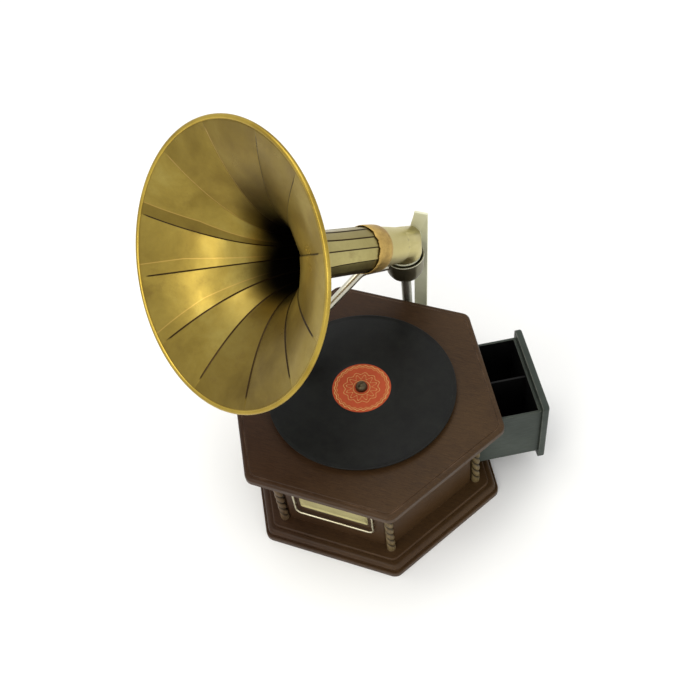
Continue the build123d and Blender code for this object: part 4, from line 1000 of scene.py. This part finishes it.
# Painted highlight: pale copy of the cup's metal for its rim.
CUP_RIM_HIGHLIGHT = metal("cup_rim_highlight_paint", (0.88, 0.87, 0.66), (0.74, 0.72, 0.50), (0.40, 0.36, 0.20),
                   (0.25, 0.4), 30, pits=0.1, metallic=0.5)
CUP = metal("cup_bronze", (0.26, 0.24, 0.15), (0.12, 0.11, 0.07), (0.05, 0.04, 0.03),
            (0.34, 0.52), 30, pits=0.5)
POST_IRON = metal("post_grey", (0.42, 0.42, 0.36), (0.28, 0.28, 0.23), (0.10, 0.09, 0.07),
                  (0.36, 0.52), 40)
WIRE = metal("plate_wire", (0.74, 0.69, 0.52), (0.50, 0.45, 0.30), (0.22, 0.17, 0.09),
             (0.22, 0.4), 60)
PLATE = metal("blank_plate_brass", (0.50, 0.45, 0.22), (0.30, 0.26, 0.12), (0.09, 0.07, 0.03),
              (0.30, 0.5), 45, pits=0.6)
NUT = metal("dark_bronze", (0.13, 0.10, 0.06), (0.05, 0.04, 0.025), (0.02, 0.015, 0.01),
            (0.24, 0.4), 60)
STEEL = metal("machined_steel", (0.56, 0.56, 0.56), (0.38, 0.38, 0.39), (0.18, 0.12, 0.08),
              (0.24, 0.42), 60)
YELLOW_BRASS = metal("machined_brass", (0.68, 0.50, 0.20), (0.50, 0.36, 0.13),
                     (0.22, 0.13, 0.05), (0.24, 0.4), 50)
IRON = cast("motor_casting", (0.07, 0.07, 0.07))
PLATTER = cast("platter_casting", (0.05, 0.05, 0.05), 0.4)
CASE_WOOD = wood("case_wood", (0.024, 0.010, 0.005), (0.050, 0.022, 0.010),
                 (0.17, 0.10, 0.06), (1, 12, 12))
TRIM_WOOD = wood("trim_wood", (0.050, 0.028, 0.015), (0.13, 0.080, 0.045),
                 (0.30, 0.20, 0.13), (4, 4, 1), groove_shade=True)
RAW_WOOD = wood("inner_wood", (0.20, 0.12, 0.06), (0.34, 0.22, 0.12),
                (0.45, 0.32, 0.2), (12, 1, 12), (0.6, 0.8))
TURNED = wood("turned_wood", (0.018, 0.010, 0.006), (0.05, 0.028, 0.016),
              (0.16, 0.10, 0.06), (3, 3, 3), (0.22, 0.4))
SHELLAC = record_shellac()
LABEL = label_paper()
FELT = felt()
DRAWER = drawer_paint()
MICA = mica()

NODE_MATERIALS = {
    "plinth_moulding": CASE_WOOD, "deck_board": CASE_WOOD, "deck_moulding": CASE_WOOD,
    "front_panel": CASE_WOOD, "right_front_panel": CASE_WOOD, "drawer_side_panel": CASE_WOOD,
    "back_panel": CASE_WOOD, "crank_side_panel": CASE_WOOD, "left_front_panel": CASE_WOOD,
    "bottom_board": RAW_WOOD, "drawer_runners": RAW_WOOD,
    "drawer_box": DRAWER, "drawer_divider": DRAWER, "drawer_front": DRAWER,
    "platter": PLATTER, "platter_felt": FELT, "record_label": LABEL,
    "support_post": POST_IRON, "bracket_base": POST_IRON, "bracket_screws": STEEL,
    "support_strap": STRAP,
    "horn_tube": TUBE, "horn_elbow": TUBE,
    "tonearm_tube": NICKEL, "gooseneck": NICKEL, "gooseneck_pin": STEEL, "soundbox_body": NICKEL,
    "soundbox_ring": NICKEL, "stylus_bar": NICKEL, "needle": STEEL, "diaphragm": MICA,
    "crank_shaft": NICKEL, "crank_arm": NICKEL, "crank_escutcheon": NICKEL,
    "brake_lever": NICKEL, "speed_dial": NICKEL,
    "motor_top_plate": IRON, "motor_bottom_plate": IRON,
    "mainspring_barrel": IRON, "barrel_cover": IRON,
    "spindle": STEEL, "winding_arbor": STEEL, "intermediate_gear": STEEL, "governor_shaft": STEEL,
    "motor_pillars": STEEL, "mainspring": STEEL, "ratchet_pawl": STEEL, "regulator_lever": STEEL,
    "governor_disc": YELLOW_BRASS, "governor_weights": YELLOW_BRASS,
}
SOFT_EDGES = {                              # how far the corners of a node are eased
    "front_panel": 0.4 * MM, "right_front_panel": 0.4 * MM, "drawer_side_panel": 0.4 * MM,
    "back_panel": 0.4 * MM, "crank_side_panel": 0.4 * MM, "left_front_panel": 0.4 * MM,
    "drawer_box": 0.6 * MM, "drawer_divider": 0.5 * MM, "support_strap": 0.6 * MM,
    "bracket_base": 0.8 * MM, "crank_arm": 0.6 * MM, "brake_lever": 0.4 * MM,
    "platter": 0.3 * MM,
}


def dress_nodes():
    """Gives every CAD node that stays its material and, for some, slightly eased edges."""
    for name, material in NODE_MATERIALS.items():
        node = frame["nodes"][name]
        for slot in node.material_slots:
            slot.material = material
        if not node.material_slots:
            node.data.materials.append(material)
        weld = node.modifiers.new("weld", "WELD")
        weld.merge_threshold = 0.01 * MM
        if name in SOFT_EDGES:
            bevel = node.modifiers.new("eased_edges", "BEVEL")
            bevel.width = SOFT_EDGES[name]
            bevel.segments = 2
            bevel.limit_method = "ANGLE"
            bevel.angle_limit = math.radians(40)


make_stage()
make_camera()
dress_nodes()
make_bell()
make_collar()
make_columns()
make_wire_frame()
make_plate()
make_record()
make_clamp()
make_cup()
make_grip()
make_knob()
